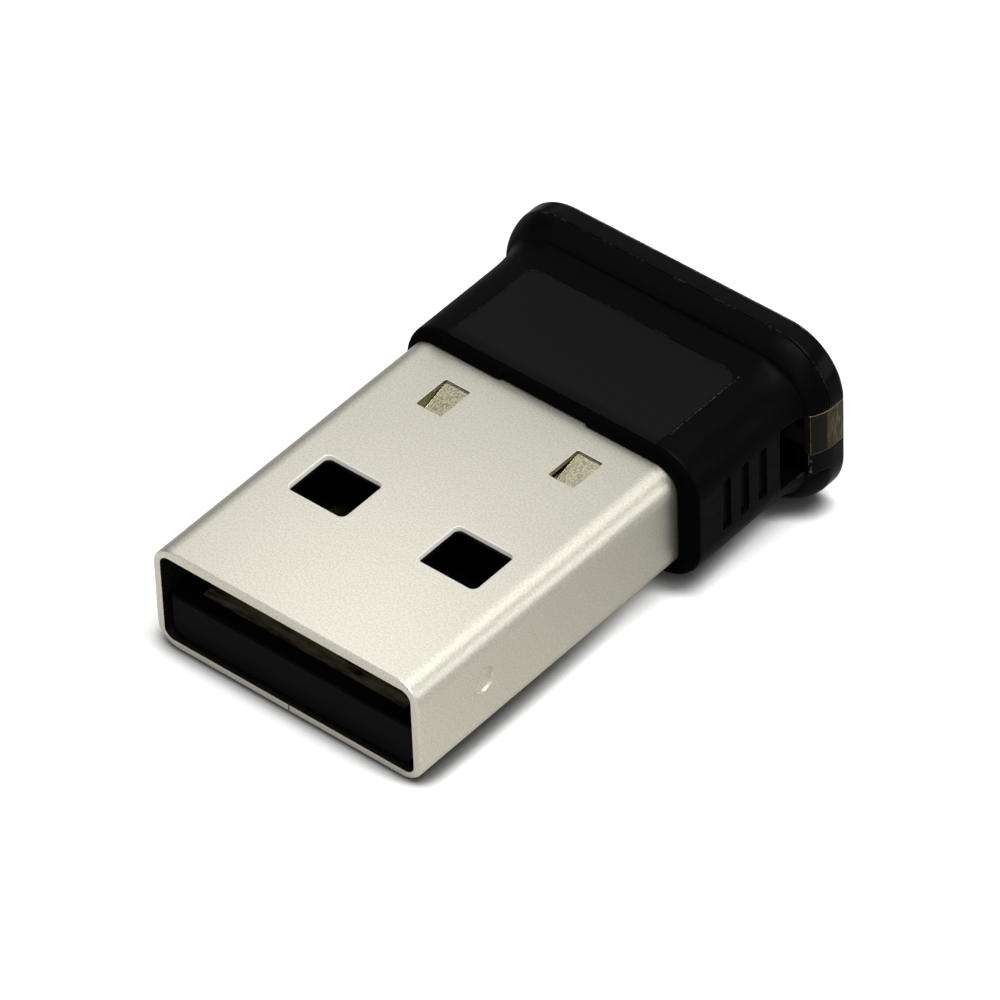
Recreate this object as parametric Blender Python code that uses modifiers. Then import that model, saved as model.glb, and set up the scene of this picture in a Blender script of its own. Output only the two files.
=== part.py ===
"""A USB-A radio adapter: a folded sheet plug on a short black housing that flares into an end flange.

Blender 4.5. Metres, +Z up. +Y runs from the plug's mouth to the rear end cap, +X is the side with
the lanyard slot and the status window. The origin is at the middle of the footprint, at the level of
the flange's underside, which is what the adapter rests on.

Places along Y are measured from the mouth, and places along X and Z from the housing's or the plug's
own axis. Two empties carry them to their place in the part's frame.
"""

import math

import bmesh
import bpy
from mathutils import Matrix, Vector

MM = 0.001

# Plug shell: a standard A plug, folded from sheet
SHELL_WIDTH = 12.0 * MM
SHELL_HEIGHT = 4.5 * MM
SHELL_LENGTH = 15.2 * MM
SHELL_SHEET = 0.35 * MM
SHELL_BEND = 0.95 * MM
SHELL_RIM_ROUNDING = 0.09 * MM
SEAM_GAP = 0.05 * MM
SEAM_LOCKS = (2.7 * MM, 9.4 * MM)
SEAM_LOCK_REACH = 0.8 * MM
SEAM_LOCK_NECK = 1.0 * MM
SEAM_LOCK_HEAD = 1.5 * MM

# Latch windows, the same above and below
LATCH_SPACING = 5.9 * MM
LATCH_OFFSET_X = 0.04 * MM
LATCH_FRONT = 4.98 * MM
LATCH_WIDTH = 2.6 * MM
LATCH_LENGTH = 2.21 * MM
LATCH_CORNER = 0.25 * MM

# Lanced retention tabs in the top, stepped down at the rear and sloping down to the front
TAB_SPACING = 5.98 * MM
TAB_OFFSET_X = 0.07 * MM
TAB_FRONT_FROM_SHELL_REAR = 4.13 * MM
TAB_WINDOW_LENGTH = 1.67 * MM
TAB_WINDOW_WIDTH = 1.1 * MM
TAB_SIDE_CLEARANCE = 0.02 * MM
TAB_STEP = 0.28 * MM
TAB_SLOPE = math.radians(12.5)
TAB_ROOT = 0.2 * MM

# Half-sheared dimple in the right wall
DIMPLE_FROM_MOUTH = 3.35 * MM
DIMPLE_HEIGHT = 0.3 * MM
DIMPLE_RADIUS = 0.58 * MM
DIMPLE_DEPTH = 0.1 * MM

# Contact carrier: the tongue and the block that fills the shell behind it
CARRIER_RECESS = 0.2 * MM
CARRIER_SIDE_GAP = 0.2 * MM
CARRIER_SEAT_GAP = 0.05 * MM
TONGUE_THICKNESS = 1.88 * MM
TONGUE_LENGTH = 8.8 * MM
TONGUE_NOSE = 0.08 * MM
TRAY_LIP = 0.65 * MM
TRAY_SIDE = 0.85 * MM
TRAY_DEPTH = 0.06 * MM
BLOCK_BEFORE_SHELL_REAR = 1.9 * MM
TAB_POCKET_MARGIN = 0.15 * MM
SHELF_LENGTH = 0.9 * MM

# Contacts, with the outer pair reaching further forward
CONTACT_WIDTH = 1.0 * MM
CONTACT_THICKNESS = 0.25 * MM
CONTACT_INNER_SPACING = 2.0 * MM
CONTACT_OUTER_SPACING = 7.0 * MM
CONTACT_OUTER_START = 1.6 * MM
CONTACT_INNER_START = 2.6 * MM
CONTACT_BELOW_TONGUE_TOP = 0.05 * MM
CONTACT_NOSE_LENGTH = 0.4 * MM
CONTACT_NOSE_DROP = 0.3 * MM
CONTACT_TAIL = 1.3 * MM
CONTACT_GROOVE_GAP = 0.05 * MM

# Circuit board, which fits between the housing's walls
BOARD_SIDE_GAP = 0.6 * MM
BOARD_THICKNESS = 0.8 * MM
BOARD_CORNER = 0.4 * MM
BOARD_FRONT_GAP = 0.1 * MM
BOARD_REAR_GAP = 0.25 * MM
SOLDER_GAP = 0.04 * MM

# Housing: a rounded neck, then a flare into a larger rounded flange
PLUG_OFFSET_X = -0.2 * MM
SHELL_IN_HOUSING = 1.5 * MM
HOUSING_LENGTH = 6.75 * MM
NECK_OVER_SHELL_SIDE = 0.6 * MM
NECK_OVER_SHELL_TOP = 0.65 * MM
NECK_CORNER = 1.8 * MM
FLANGE_OVER_NECK_SIDE = 0.64 * MM
FLANGE_OVER_NECK_TOP = 0.84 * MM
FLANGE_CORNER = 2.39 * MM
FLARE_HOLLOW_LENGTH = 1.45 * MM
FLARE_FULL_LENGTH = 1.0 * MM
FLARE_INTO_CAP = 0.2 * MM
FLARE_TURN_SHARE = 0.32
FLARE_ROUNDNESS = 1.55
FRONT_ROUNDING_LENGTH = 0.43 * MM
FRONT_ROUNDING_TOP = 0.43 * MM
FRONT_ROUNDING_SIDE = 0.06 * MM
HOUSING_WALL = 0.6 * MM
COLLAR_GAP = 0.05 * MM
RELIEF_WIDTH = 3.9 * MM
RELIEF_DEPTH = 0.14 * MM

# Sunk panel on the housing's top
PANEL_WIDTH = 9.4 * MM
PANEL_DEPTH = 0.1 * MM
PANEL_LENGTH = 4.9 * MM
PANEL_CORNER = 0.6 * MM
PANEL_FRONT_FALL = 0.45 * MM
PANEL_FRONT_LENGTH = 0.7 * MM

# Upright grip slots, the same on both sides
GRIP_COUNT = 3
GRIP_FROM_FRONT = 1.78 * MM
GRIP_PITCH = 0.99 * MM
GRIP_WIDTH = 0.48 * MM
GRIP_HEIGHT = 2.27 * MM
GRIP_RISE = 0.115 * MM
GRIP_DEPTH = 0.2 * MM
GRIP_CORNER = 0.1 * MM

# Lanyard slot, and the parts that close its rear in the flange
SIDE_SLOT_FROM_REAR = 2.02 * MM
SIDE_SLOT_HEIGHT = 2.76 * MM
SIDE_SLOT_LENGTH = 1.27 * MM
SIDE_SLOT_CORNER = 0.15 * MM
FIT_GAP = 0.04 * MM

# End cap of smoke plastic, with a spigot inside the housing and an ear in the side slot
CAP_THICKNESS = 0.84 * MM
CAP_REAR_ROUNDING = 0.2 * MM
CAP_SPIGOT_DEPTH = 0.5 * MM
CAP_SPIGOT_WALL = 0.55 * MM
CAP_HOLLOW_DEPTH = 0.25 * MM
CAP_SEAT_DEPTH = 0.55 * MM
PARTING_CHAMFER = 0.05 * MM

# Light guide, the window in the flange's side
WINDOW_TOP = 1.34 * MM
WINDOW_BOTTOM = -0.45 * MM
WINDOW_PLATE = 0.6 * MM
GUIDE_STEM_LENGTH = 1.0 * MM
GUIDE_STEM_WIDTH = 0.45 * MM
GUIDE_STEM_HEIGHT = 0.7 * MM
GUIDE_STEM_SETBACK = 0.1 * MM

# Rails that carry the board's edges
RAIL_REACH = 1.1 * MM
RAIL_HEIGHT = 0.4 * MM
RAIL_BEHIND_SHELL = 1.4 * MM

# Shared fineness of rounded corners
CORNER_STEPS = 8
REACH_THROUGH = 1.0 * MM

# Sizes of the parts on the board: across the plug, along it and up
RADIO_CHIP = (4.0 * MM, 4.0 * MM, 0.85 * MM)
MEMORY_CHIP = (2.0 * MM, 3.0 * MM, 0.55 * MM)
REGULATOR = (1.6 * MM, 2.9 * MM, 1.0 * MM)
REGULATOR_LIFT = 0.12 * MM
LEAD_WIDTH = 0.4 * MM
LEAD_PITCH = 0.95 * MM
LEAD_SHEET = 0.12 * MM
LEAD_FOOT = 0.6 * MM
LEAD_STEP = 0.01 * MM
CRYSTAL = (2.0 * MM, 1.6 * MM, 0.6 * MM)
CRYSTAL_BASE_HEIGHT = 0.35 * MM
CRYSTAL_LID_INSET = 0.12 * MM
ANTENNA = (3.2 * MM, 1.0 * MM, 0.7 * MM)
LAMP = (1.6 * MM, 0.8 * MM, 0.6 * MM)
LAMP_EDGE_GAP = 0.1 * MM
FILTER = (1.6 * MM, 0.8 * MM, 0.6 * MM)
INDUCTOR = (1.6 * MM, 0.8 * MM, 0.8 * MM)
CAPACITOR = (1.0 * MM, 0.5 * MM, 0.5 * MM)
RESISTOR = (1.0 * MM, 0.5 * MM, 0.35 * MM)
PACKAGE_EDGE = 0.06 * MM
TERMINAL_STEP = 0.03 * MM

# Places worked out from the sizes
HOUSING_FRONT = SHELL_LENGTH - SHELL_IN_HOUSING
HOUSING_REAR = HOUSING_FRONT + HOUSING_LENGTH
FLARE_END = HOUSING_REAR + FLARE_INTO_CAP
FLARE_TURN = FLARE_END - FLARE_FULL_LENGTH
FLARE_START = FLARE_TURN - FLARE_HOLLOW_LENGTH
PANEL_REAR = HOUSING_FRONT + PANEL_LENGTH
SIDE_SLOT_FRONT = HOUSING_REAR - SIDE_SLOT_FROM_REAR
TAB_WINDOW_FRONT = SHELL_LENGTH - TAB_FRONT_FROM_SHELL_REAR
NECK_WIDTH = SHELL_WIDTH + 2 * NECK_OVER_SHELL_SIDE
NECK_HEIGHT = SHELL_HEIGHT + 2 * NECK_OVER_SHELL_TOP
FLANGE_WIDTH = NECK_WIDTH + 2 * FLANGE_OVER_NECK_SIDE
FLANGE_HEIGHT = NECK_HEIGHT + 2 * FLANGE_OVER_NECK_TOP
TOTAL_LENGTH = HOUSING_REAR + FIT_GAP + CAP_THICKNESS
SHELL_TOP = SHELL_HEIGHT / 2
SHELL_FLOOR = -SHELL_HEIGHT / 2 + SHELL_SHEET
SHELL_ROOF = SHELL_HEIGHT / 2 - SHELL_SHEET
CARRIER_BOTTOM = SHELL_FLOOR + CARRIER_SEAT_GAP
CARRIER_HALF_WIDTH = SHELL_WIDTH / 2 - SHELL_SHEET - CARRIER_SIDE_GAP
TONGUE_TOP = CARRIER_BOTTOM + TONGUE_THICKNESS
TONGUE_REAR = CARRIER_RECESS + TONGUE_LENGTH
BLOCK_REAR = SHELL_LENGTH - BLOCK_BEFORE_SHELL_REAR
CONTACT_TOP = TONGUE_TOP - CONTACT_BELOW_TONGUE_TOP
CONTACT_BOTTOM = CONTACT_TOP - CONTACT_THICKNESS
CONTACT_REAR = BLOCK_REAR + CONTACT_TAIL
BOARD_TOP = CONTACT_BOTTOM - SOLDER_GAP
BOARD_BOTTOM = BOARD_TOP - BOARD_THICKNESS
BOARD_FRONT = BLOCK_REAR + BOARD_FRONT_GAP
BOARD_REAR = HOUSING_REAR - BOARD_REAR_GAP
BOARD_LENGTH = BOARD_REAR - BOARD_FRONT
CAVITY_HALF_WIDTH = NECK_WIDTH / 2 - HOUSING_WALL
CAVITY_HALF_HEIGHT = NECK_HEIGHT / 2 - HOUSING_WALL
BOARD_WIDTH = 2 * (CAVITY_HALF_WIDTH - BOARD_SIDE_GAP)
CAP_SEAT_FRONT = HOUSING_REAR - CAP_SEAT_DEPTH
CAP_SEAT_HALF_WIDTH = FLANGE_WIDTH / 2 - HOUSING_WALL - FIT_GAP
CAP_SEAT_HALF_HEIGHT = FLANGE_HEIGHT / 2 - HOUSING_WALL - FIT_GAP
SIDE_SLOT_REAR = SIDE_SLOT_FRONT + SIDE_SLOT_LENGTH
SURFACE_X = FLANGE_WIDTH / 2
PLATE_INNER_X = SURFACE_X - WINDOW_PLATE

CHIP_BLACK = (0.02, 0.02, 0.022)
CERAMIC_BEIGE = (0.55, 0.42, 0.28)
CERAMIC_WHITE = (0.75, 0.74, 0.7)
FERRITE_GREY = (0.12, 0.12, 0.13)
TIN = (0.72, 0.72, 0.7)


def clear_objects():
    for item in list(bpy.data.objects):
        bpy.data.objects.remove(item)


def make_collection(name):
    collection = bpy.data.collections.new(name)
    bpy.context.scene.collection.children.link(collection)
    return collection


def make_empty(name, location, parent=None):
    empty = bpy.data.objects.new(name, None)
    empty.location = location
    empty.parent = parent
    empty.empty_display_size = 2 * MM
    PARTS.objects.link(empty)
    return empty


def make_material(name, colour, roughness, metallic=0.0):
    material = bpy.data.materials.new(name)
    material.use_nodes = True
    shader = material.node_tree.nodes["Principled BSDF"]
    shader.inputs["Base Color"].default_value = (*colour, 1.0)
    shader.inputs["Roughness"].default_value = roughness
    shader.inputs["Metallic"].default_value = metallic
    return material


def add_object(name, bm, carrier, material=None, smooth_below=30.0):
    """Makes an object of a bmesh. Without a material it is a cutter or a shape to be joined."""
    bmesh.ops.recalc_face_normals(bm, faces=bm.faces)
    mesh = bpy.data.meshes.new(name)
    bm.to_mesh(mesh)
    bm.free()
    mesh.shade_smooth()
    mesh.set_sharp_from_angle(angle=math.radians(smooth_below))
    item = bpy.data.objects.new(name, mesh)
    item.parent = carrier
    if material is None:
        CUTTERS.objects.link(item)
        item.hide_render = True
        item.display_type = "WIRE"
    else:
        PARTS.objects.link(item)
        mesh.materials.append(material)
    return item


def combine(item, other, operation):
    """Joins, cuts or crosses an object with another by an exact Boolean."""
    boolean = item.modifiers.new(f"{operation.lower()} {other.name}", "BOOLEAN")
    boolean.operation = operation
    boolean.object = other
    boolean.solver = "EXACT"


def cut(item, cutter):
    combine(item, cutter, "DIFFERENCE")


def join(item, other):
    combine(item, other, "UNION")


def bevel(item, width, segments=2, angle=50.0):
    modifier = item.modifiers.new("rounded edges", "BEVEL")
    modifier.width = width
    modifier.segments = segments
    modifier.limit_method = "ANGLE"
    modifier.angle_limit = math.radians(angle)


def rounded_section(half_width, half_height, radius):
    """Points of a rounded rectangle in X and Z, counter-clockwise from the right side."""
    points = []
    for quarter, (side, level) in enumerate(((1, 1), (-1, 1), (-1, -1), (1, -1))):
        for step in range(CORNER_STEPS + 1):
            angle = math.pi / 2 * (quarter + step / CORNER_STEPS)
            x = side * (half_width - radius) + radius * math.cos(angle)
            z = level * (half_height - radius) + radius * math.sin(angle)
            points.append((x, z))
    return points


def loft(rings):
    """A closed solid through rings of X and Z points, each given as a place along Y and a section."""
    bm = bmesh.new()
    loops = [[bm.verts.new((x, y, z)) for x, z in section] for y, section in rings]
    for front, rear in zip(loops, loops[1:]):
        for index in range(len(front)):
            following = (index + 1) % len(front)
            bm.faces.new((front[index], rear[index], rear[following], front[following]))
    bm.faces.new(loops[0])
    bm.faces.new(reversed(loops[-1]))
    return bm


def rounded_bar(half_width, half_height, radius, front, rear):
    section = rounded_section(half_width, half_height, radius)
    return loft([(front, section), (rear, section)])


def block(low, high, round_axis=None, radius=0.0, segments=4):
    """A box between two corners. The edges along round_axis can be rounded."""
    low = Vector(low)
    high = Vector(high)
    bm = bmesh.new()
    place = Matrix.Translation((low + high) / 2) @ Matrix.Diagonal((*(high - low), 1.0))
    bmesh.ops.create_cube(bm, size=1.0, matrix=place)
    if round_axis is not None:
        axis = "XYZ".index(round_axis)
        edges = [edge for edge in bm.edges if abs((edge.verts[0].co - edge.verts[1].co)[axis]) > 0]
        bmesh.ops.bevel(bm, geom=edges, offset=radius, segments=segments, profile=0.5, affect="EDGES")
    return bm


def side_profile(outline, low_x, high_x):
    """A closed outline of Y and Z points, extruded along X."""
    bm = bmesh.new()
    face = bm.faces.new([bm.verts.new((low_x, y, z)) for y, z in outline])
    grown = bmesh.ops.extrude_face_region(bm, geom=[face])
    moved = [part for part in grown["geom"] if isinstance(part, bmesh.types.BMVert)]
    bmesh.ops.translate(bm, verts=moved, vec=(high_x - low_x, 0, 0))
    return bm


def flare_share(y):
    """How far the housing has grown from neck to flange, from 0 to 1: a hollow curve, then a full one."""
    if y <= FLARE_START:
        return 0.0
    if y < FLARE_TURN:
        run = (y - FLARE_START) / (FLARE_TURN - FLARE_START)
        return FLARE_TURN_SHARE * (1 - math.sqrt(1 - run ** 2))
    left = max((FLARE_END - y) / (FLARE_END - FLARE_TURN), 0.0)
    full = (1 - left ** FLARE_ROUNDNESS) ** (1 / FLARE_ROUNDNESS)
    return FLARE_TURN_SHARE + (1 - FLARE_TURN_SHARE) * full


def body_section(y, inset_side=0.0, inset_top=0.0):
    """The housing's outer section at a place along Y."""
    share = flare_share(y)
    half_width = (NECK_WIDTH + share * (FLANGE_WIDTH - NECK_WIDTH)) / 2 - inset_side
    half_height = (NECK_HEIGHT + share * (FLANGE_HEIGHT - NECK_HEIGHT)) / 2 - inset_top
    radius = NECK_CORNER + share * (FLANGE_CORNER - NECK_CORNER) - min(inset_side, inset_top)
    return rounded_section(half_width, half_height, radius)


def quarter_turn(steps):
    """Sine and cosine pairs of a quarter turn, from its start to its end."""
    angles = [math.pi / 2 * step / steps for step in range(steps + 1)]
    return [(math.sin(angle), math.cos(angle)) for angle in angles]


def flare_stations(front, rear):
    """Places along Y between two ends, dense where the flare curves."""
    stations = [front]
    for sine, _ in quarter_turn(6):
        stations.append(FLARE_START + sine * (FLARE_TURN - FLARE_START))
    for _, cosine in quarter_turn(9):
        stations.append(FLARE_TURN + (1 - cosine) * (FLARE_END - FLARE_TURN))
    stations = sorted(y for y in stations if front <= y < rear - PARTING_CHAMFER)
    merged = [y for y, following in zip(stations, stations[1:] + [rear]) if following - y > 1e-6]
    return merged + [rear]


def plug_shell(material):
    """The folded sheet shell, with its seam below and its windows, tabs and dimple."""
    section = rounded_section(SHELL_WIDTH / 2, SHELL_HEIGHT / 2, SHELL_BEND)
    bm = bmesh.new()
    ring = [bm.verts.new((x, 0, z)) for x, z in section]
    edges = [bm.edges.new((ring[index - 1], ring[index])) for index in range(len(ring))]
    grown = bmesh.ops.extrude_edge_only(bm, edges=edges)
    moved = [part for part in grown["geom"] if isinstance(part, bmesh.types.BMVert)]
    bmesh.ops.translate(bm, verts=moved, vec=(0, SHELL_LENGTH, 0))
    shell = add_object("plug_shell", bm, PLUG, material)
    sheet = shell.modifiers.new("sheet", "SOLIDIFY")
    sheet.thickness = SHELL_SHEET
    sheet.offset = -1.0
    sheet.use_even_offset = True
    bevel(shell, SHELL_RIM_ROUNDING)
    for side in (-1, 1):
        middle = LATCH_OFFSET_X + side * LATCH_SPACING / 2
        low = (middle - LATCH_WIDTH / 2, LATCH_FRONT, -SHELL_HEIGHT)
        high = (middle + LATCH_WIDTH / 2, LATCH_FRONT + LATCH_LENGTH, SHELL_HEIGHT)
        cutter = add_object(f"latch window {side}", block(low, high, "Z", LATCH_CORNER), PLUG)
        cut(shell, cutter)
    for side in (-1, 1):
        lance_tab(shell, TAB_OFFSET_X + side * TAB_SPACING / 2, side)
    cut(shell, seam_ribbon())
    press_dimple(shell)
    return shell


def lance_tab(shell, middle, side):
    """Cuts a tab's window in the top and joins the tab, stepped down at its rear root."""
    rear = TAB_WINDOW_FRONT + TAB_WINDOW_LENGTH
    low = (middle - TAB_WINDOW_WIDTH / 2, TAB_WINDOW_FRONT, 0)
    high = (middle + TAB_WINDOW_WIDTH / 2, rear, SHELL_HEIGHT)
    cut(shell, add_object(f"tab window {side}", block(low, high), PLUG))
    top = SHELL_TOP - TAB_STEP
    inside = SHELL_TOP - SHELL_SHEET / 2
    across = Vector((-math.sin(TAB_SLOPE), -math.cos(TAB_SLOPE))) * SHELL_SHEET
    along = Vector((-math.cos(TAB_SLOPE), -math.sin(TAB_SLOPE))) * TAB_WINDOW_LENGTH
    step_face = rear - TAB_SIDE_CLEARANCE
    start = Vector((step_face, top))
    tip = start + along
    root = rear + TAB_ROOT
    outline = [
        (root, inside),
        (step_face, inside),
        tuple(start),
        tuple(tip),
        tuple(tip + across),
        tuple(start + across + Vector((TAB_ROOT / 2, 0))),
        (root, top - SHELL_SHEET / 2),
    ]
    half = TAB_WINDOW_WIDTH / 2 - TAB_SIDE_CLEARANCE
    tab = add_object(f"tab {side}", side_profile(outline, middle - half, middle + half), PLUG)
    join(shell, tab)


def seam_ribbon():
    """The folded seam's gap along the bottom, with its dovetail locks, as a thin upright ribbon."""
    path = [(0.0, -REACH_THROUGH)]
    for index, middle in enumerate(SEAM_LOCKS):
        reach = SEAM_LOCK_REACH * (1 if index % 2 == 0 else -1)
        path.append((0.0, middle - SEAM_LOCK_NECK / 2))
        path.append((reach, middle - SEAM_LOCK_HEAD / 2))
        path.append((reach, middle + SEAM_LOCK_HEAD / 2))
        path.append((0.0, middle + SEAM_LOCK_NECK / 2))
    path.append((0.0, SHELL_LENGTH + REACH_THROUGH))
    bm = bmesh.new()
    bottom = -SHELL_HEIGHT / 2 - REACH_THROUGH
    points = [bm.verts.new((x, y, bottom)) for x, y in path]
    edges = [bm.edges.new(pair) for pair in zip(points, points[1:])]
    grown = bmesh.ops.extrude_edge_only(bm, edges=edges)
    moved = [part for part in grown["geom"] if isinstance(part, bmesh.types.BMVert)]
    bmesh.ops.translate(bm, verts=moved, vec=(0, 0, REACH_THROUGH + SHELL_HEIGHT / 3))
    ribbon = add_object("seam gap", bm, PLUG)
    gap = ribbon.modifiers.new("gap", "SOLIDIFY")
    gap.thickness = SEAM_GAP
    gap.offset = 0.0
    gap.use_even_offset = True
    return ribbon


def press_dimple(shell):
    """The round dimple pressed into the right wall, which shows as a low boss inside."""
    wall = SHELL_WIDTH / 2
    for name, middle_x, radius, operation in (
        ("dimple boss", wall - SHELL_SHEET, DIMPLE_RADIUS, "UNION"),
        ("dimple hollow", wall, DIMPLE_RADIUS, "DIFFERENCE"),
    ):
        bm = bmesh.new()
        place = Matrix.Translation((middle_x, DIMPLE_FROM_MOUTH, DIMPLE_HEIGHT))
        place @= Matrix.Rotation(math.pi / 2, 4, "Y")
        bmesh.ops.create_cone(
            bm, cap_ends=True, segments=32, radius1=radius, radius2=radius * 0.92,
            depth=2 * DIMPLE_DEPTH, matrix=place if operation == "UNION" else place @ FLIP,
        )
        combine(shell, add_object(name, bm, PLUG), operation)


def contact_places():
    """The four contacts by name: middle from the plug's axis and front end from the mouth."""
    outer = CARRIER_RECESS + CONTACT_OUTER_START
    inner = CARRIER_RECESS + CONTACT_INNER_START
    return {
        "contact_power": (CONTACT_OUTER_SPACING / 2, outer),
        "contact_data_minus": (CONTACT_INNER_SPACING / 2, inner),
        "contact_data_plus": (-CONTACT_INNER_SPACING / 2, inner),
        "contact_ground": (-CONTACT_OUTER_SPACING / 2, outer),
    }


def contact_carrier(material):
    """The moulded tongue, the block behind it and the shelf under the board."""
    half = CARRIER_HALF_WIDTH
    bend = SHELL_BEND - SHELL_SHEET
    tongue = block((-half, CARRIER_RECESS, CARRIER_BOTTOM), (half, TONGUE_REAR, TONGUE_TOP))
    keel = [edge for edge in tongue.edges if all(vert.co.z < CARRIER_BOTTOM / 2 for vert in edge.verts)]
    keel = [edge for edge in keel if edge.verts[0].co.x * edge.verts[1].co.x > 0]
    bmesh.ops.bevel(tongue, geom=keel, offset=bend, segments=4, profile=0.5, affect="EDGES")
    nose = [edge for edge in tongue.edges if all(vert.co.y < TONGUE_REAR / 2 for vert in edge.verts)]
    bmesh.ops.bevel(tongue, geom=nose, offset=TONGUE_NOSE, segments=2, profile=0.5, affect="EDGES")
    carrier = add_object("contact_carrier", tongue, PLUG, material)
    roof = SHELL_ROOF - CARRIER_SEAT_GAP
    low = (-half, TONGUE_REAR - TONGUE_NOSE, CARRIER_BOTTOM + FIT_GAP)
    rear_block = block(low, (half, BLOCK_REAR, roof), "Y", bend)
    join(carrier, add_object("carrier block", rear_block, PLUG))
    low = (-half + bend, BLOCK_REAR - TONGUE_NOSE, CARRIER_BOTTOM + 2 * FIT_GAP)
    high = (half - bend, BLOCK_REAR + SHELF_LENGTH, BOARD_BOTTOM - SOLDER_GAP)
    join(carrier, add_object("board shelf", block(low, high), PLUG))
    for side in (-1, 1):
        middle = TAB_OFFSET_X + side * TAB_SPACING / 2
        reach = TAB_WINDOW_WIDTH / 2 + TAB_POCKET_MARGIN
        depth = TAB_STEP + TAB_WINDOW_LENGTH * math.sin(TAB_SLOPE) + SHELL_SHEET
        front = TAB_WINDOW_FRONT - 2 * TAB_POCKET_MARGIN
        rear = TAB_WINDOW_FRONT + TAB_WINDOW_LENGTH + TAB_ROOT + TAB_POCKET_MARGIN
        low = (middle - reach, front, SHELL_TOP - depth - TAB_POCKET_MARGIN)
        high = (middle + reach, rear, SHELL_TOP + REACH_THROUGH)
        cut(carrier, add_object(f"tab pocket {side}", block(low, high), PLUG))
    low = (-half + TRAY_SIDE, CARRIER_RECESS + TRAY_LIP, TONGUE_TOP - TRAY_DEPTH)
    high = (half - TRAY_SIDE, TONGUE_REAR - TRAY_LIP, TONGUE_TOP + TRAY_DEPTH)
    cut(carrier, add_object("tray", block(low, high), PLUG))
    for name, (middle, front) in contact_places().items():
        reach = CONTACT_WIDTH / 2 + CONTACT_GROOVE_GAP
        low = (middle - reach, front - CONTACT_GROOVE_GAP, CONTACT_BOTTOM - CONTACT_GROOVE_GAP)
        high = (middle + reach, CONTACT_REAR + REACH_THROUGH, TONGUE_TOP + CONTACT_GROOVE_GAP)
        cut(carrier, add_object(f"groove {name}", block(low, high), PLUG))
        low = (low[0], low[1], low[2] - CONTACT_NOSE_DROP)
        high = (high[0], front + CONTACT_NOSE_LENGTH + CONTACT_GROOVE_GAP, TONGUE_TOP)
        cut(carrier, add_object(f"nose pocket {name}", block(low, high), PLUG))
    return carrier


def contact(name, middle, front, material):
    """A flat strip that dips at its front end and runs back to its solder tail."""
    bend = front + CONTACT_NOSE_LENGTH
    outline = [
        (front, CONTACT_TOP - CONTACT_NOSE_DROP),
        (bend, CONTACT_TOP),
        (CONTACT_REAR, CONTACT_TOP),
        (CONTACT_REAR, CONTACT_BOTTOM),
        (bend, CONTACT_BOTTOM),
        (front, CONTACT_BOTTOM - CONTACT_NOSE_DROP),
    ]
    half = CONTACT_WIDTH / 2
    return add_object(name, side_profile(outline, middle - half, middle + half), PLUG, material)


def circuit_board(material):
    low = (-BOARD_WIDTH / 2, BOARD_FRONT, BOARD_BOTTOM)
    high = (BOARD_WIDTH / 2, BOARD_REAR, BOARD_TOP)
    return add_object("circuit_board", block(low, high, "Z", BOARD_CORNER), PLUG, material)


def board_level(height, above):
    """Bottom and top of a part that is soldered on the board's upper or lower side."""
    if above:
        return BOARD_TOP + SOLDER_GAP, BOARD_TOP + SOLDER_GAP + height
    return BOARD_BOTTOM - SOLDER_GAP - height, BOARD_BOTTOM - SOLDER_GAP


def packaged_chip(name, middle, size, material, above=True):
    """A flat moulded package with a rounded rim and a round mark at its first corner."""
    bottom, top = board_level(size[2], above)
    low = (middle[0] - size[0] / 2, middle[1] - size[1] / 2, bottom)
    high = (middle[0] + size[0] / 2, middle[1] + size[1] / 2, top)
    chip = add_object(name, block(low, high), PLUG, material)
    bevel(chip, PACKAGE_EDGE, 1)
    bm = bmesh.new()
    inset = 0.2 * size[0]
    face = top if above else bottom
    place = Matrix.Translation((low[0] + inset, low[1] + inset, face))
    bmesh.ops.create_cone(
        bm, cap_ends=True, segments=16, radius1=0.07 * size[0], radius2=0.07 * size[0],
        depth=PACKAGE_EDGE, matrix=place,
    )
    cut(chip, add_object(f"mark {name}", bm, PLUG))
    return chip


def end_terminal_part(name, middle, size, material, along="X", above=True):
    """A small part with a slimmer body between its two end terminals."""
    bottom, top = board_level(size[2], above)
    length, width = size[0], size[1]
    terminal = 0.22 * length
    waist = TERMINAL_STEP
    centre = (bottom + top) / 2
    stations = (
        (-length / 2, 0.0),
        (-length / 2 + terminal, 0.0),
        (-length / 2 + terminal, waist),
        (length / 2 - terminal, waist),
        (length / 2 - terminal, 0.0),
        (length / 2, 0.0),
    )
    rings = []
    for place, inset in stations:
        half_width = width / 2 - inset
        half_height = (top - bottom) / 2 - inset
        corners = ((1, 1), (-1, 1), (-1, -1), (1, -1))
        rings.append((place, [(half_width * x, half_height * z) for x, z in corners]))
    item = add_object(name, loft(rings), PLUG, material)
    item.location = (middle[0], middle[1], centre)
    if along == "X":
        item.rotation_euler = (0, 0, math.pi / 2)
    return item


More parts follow.
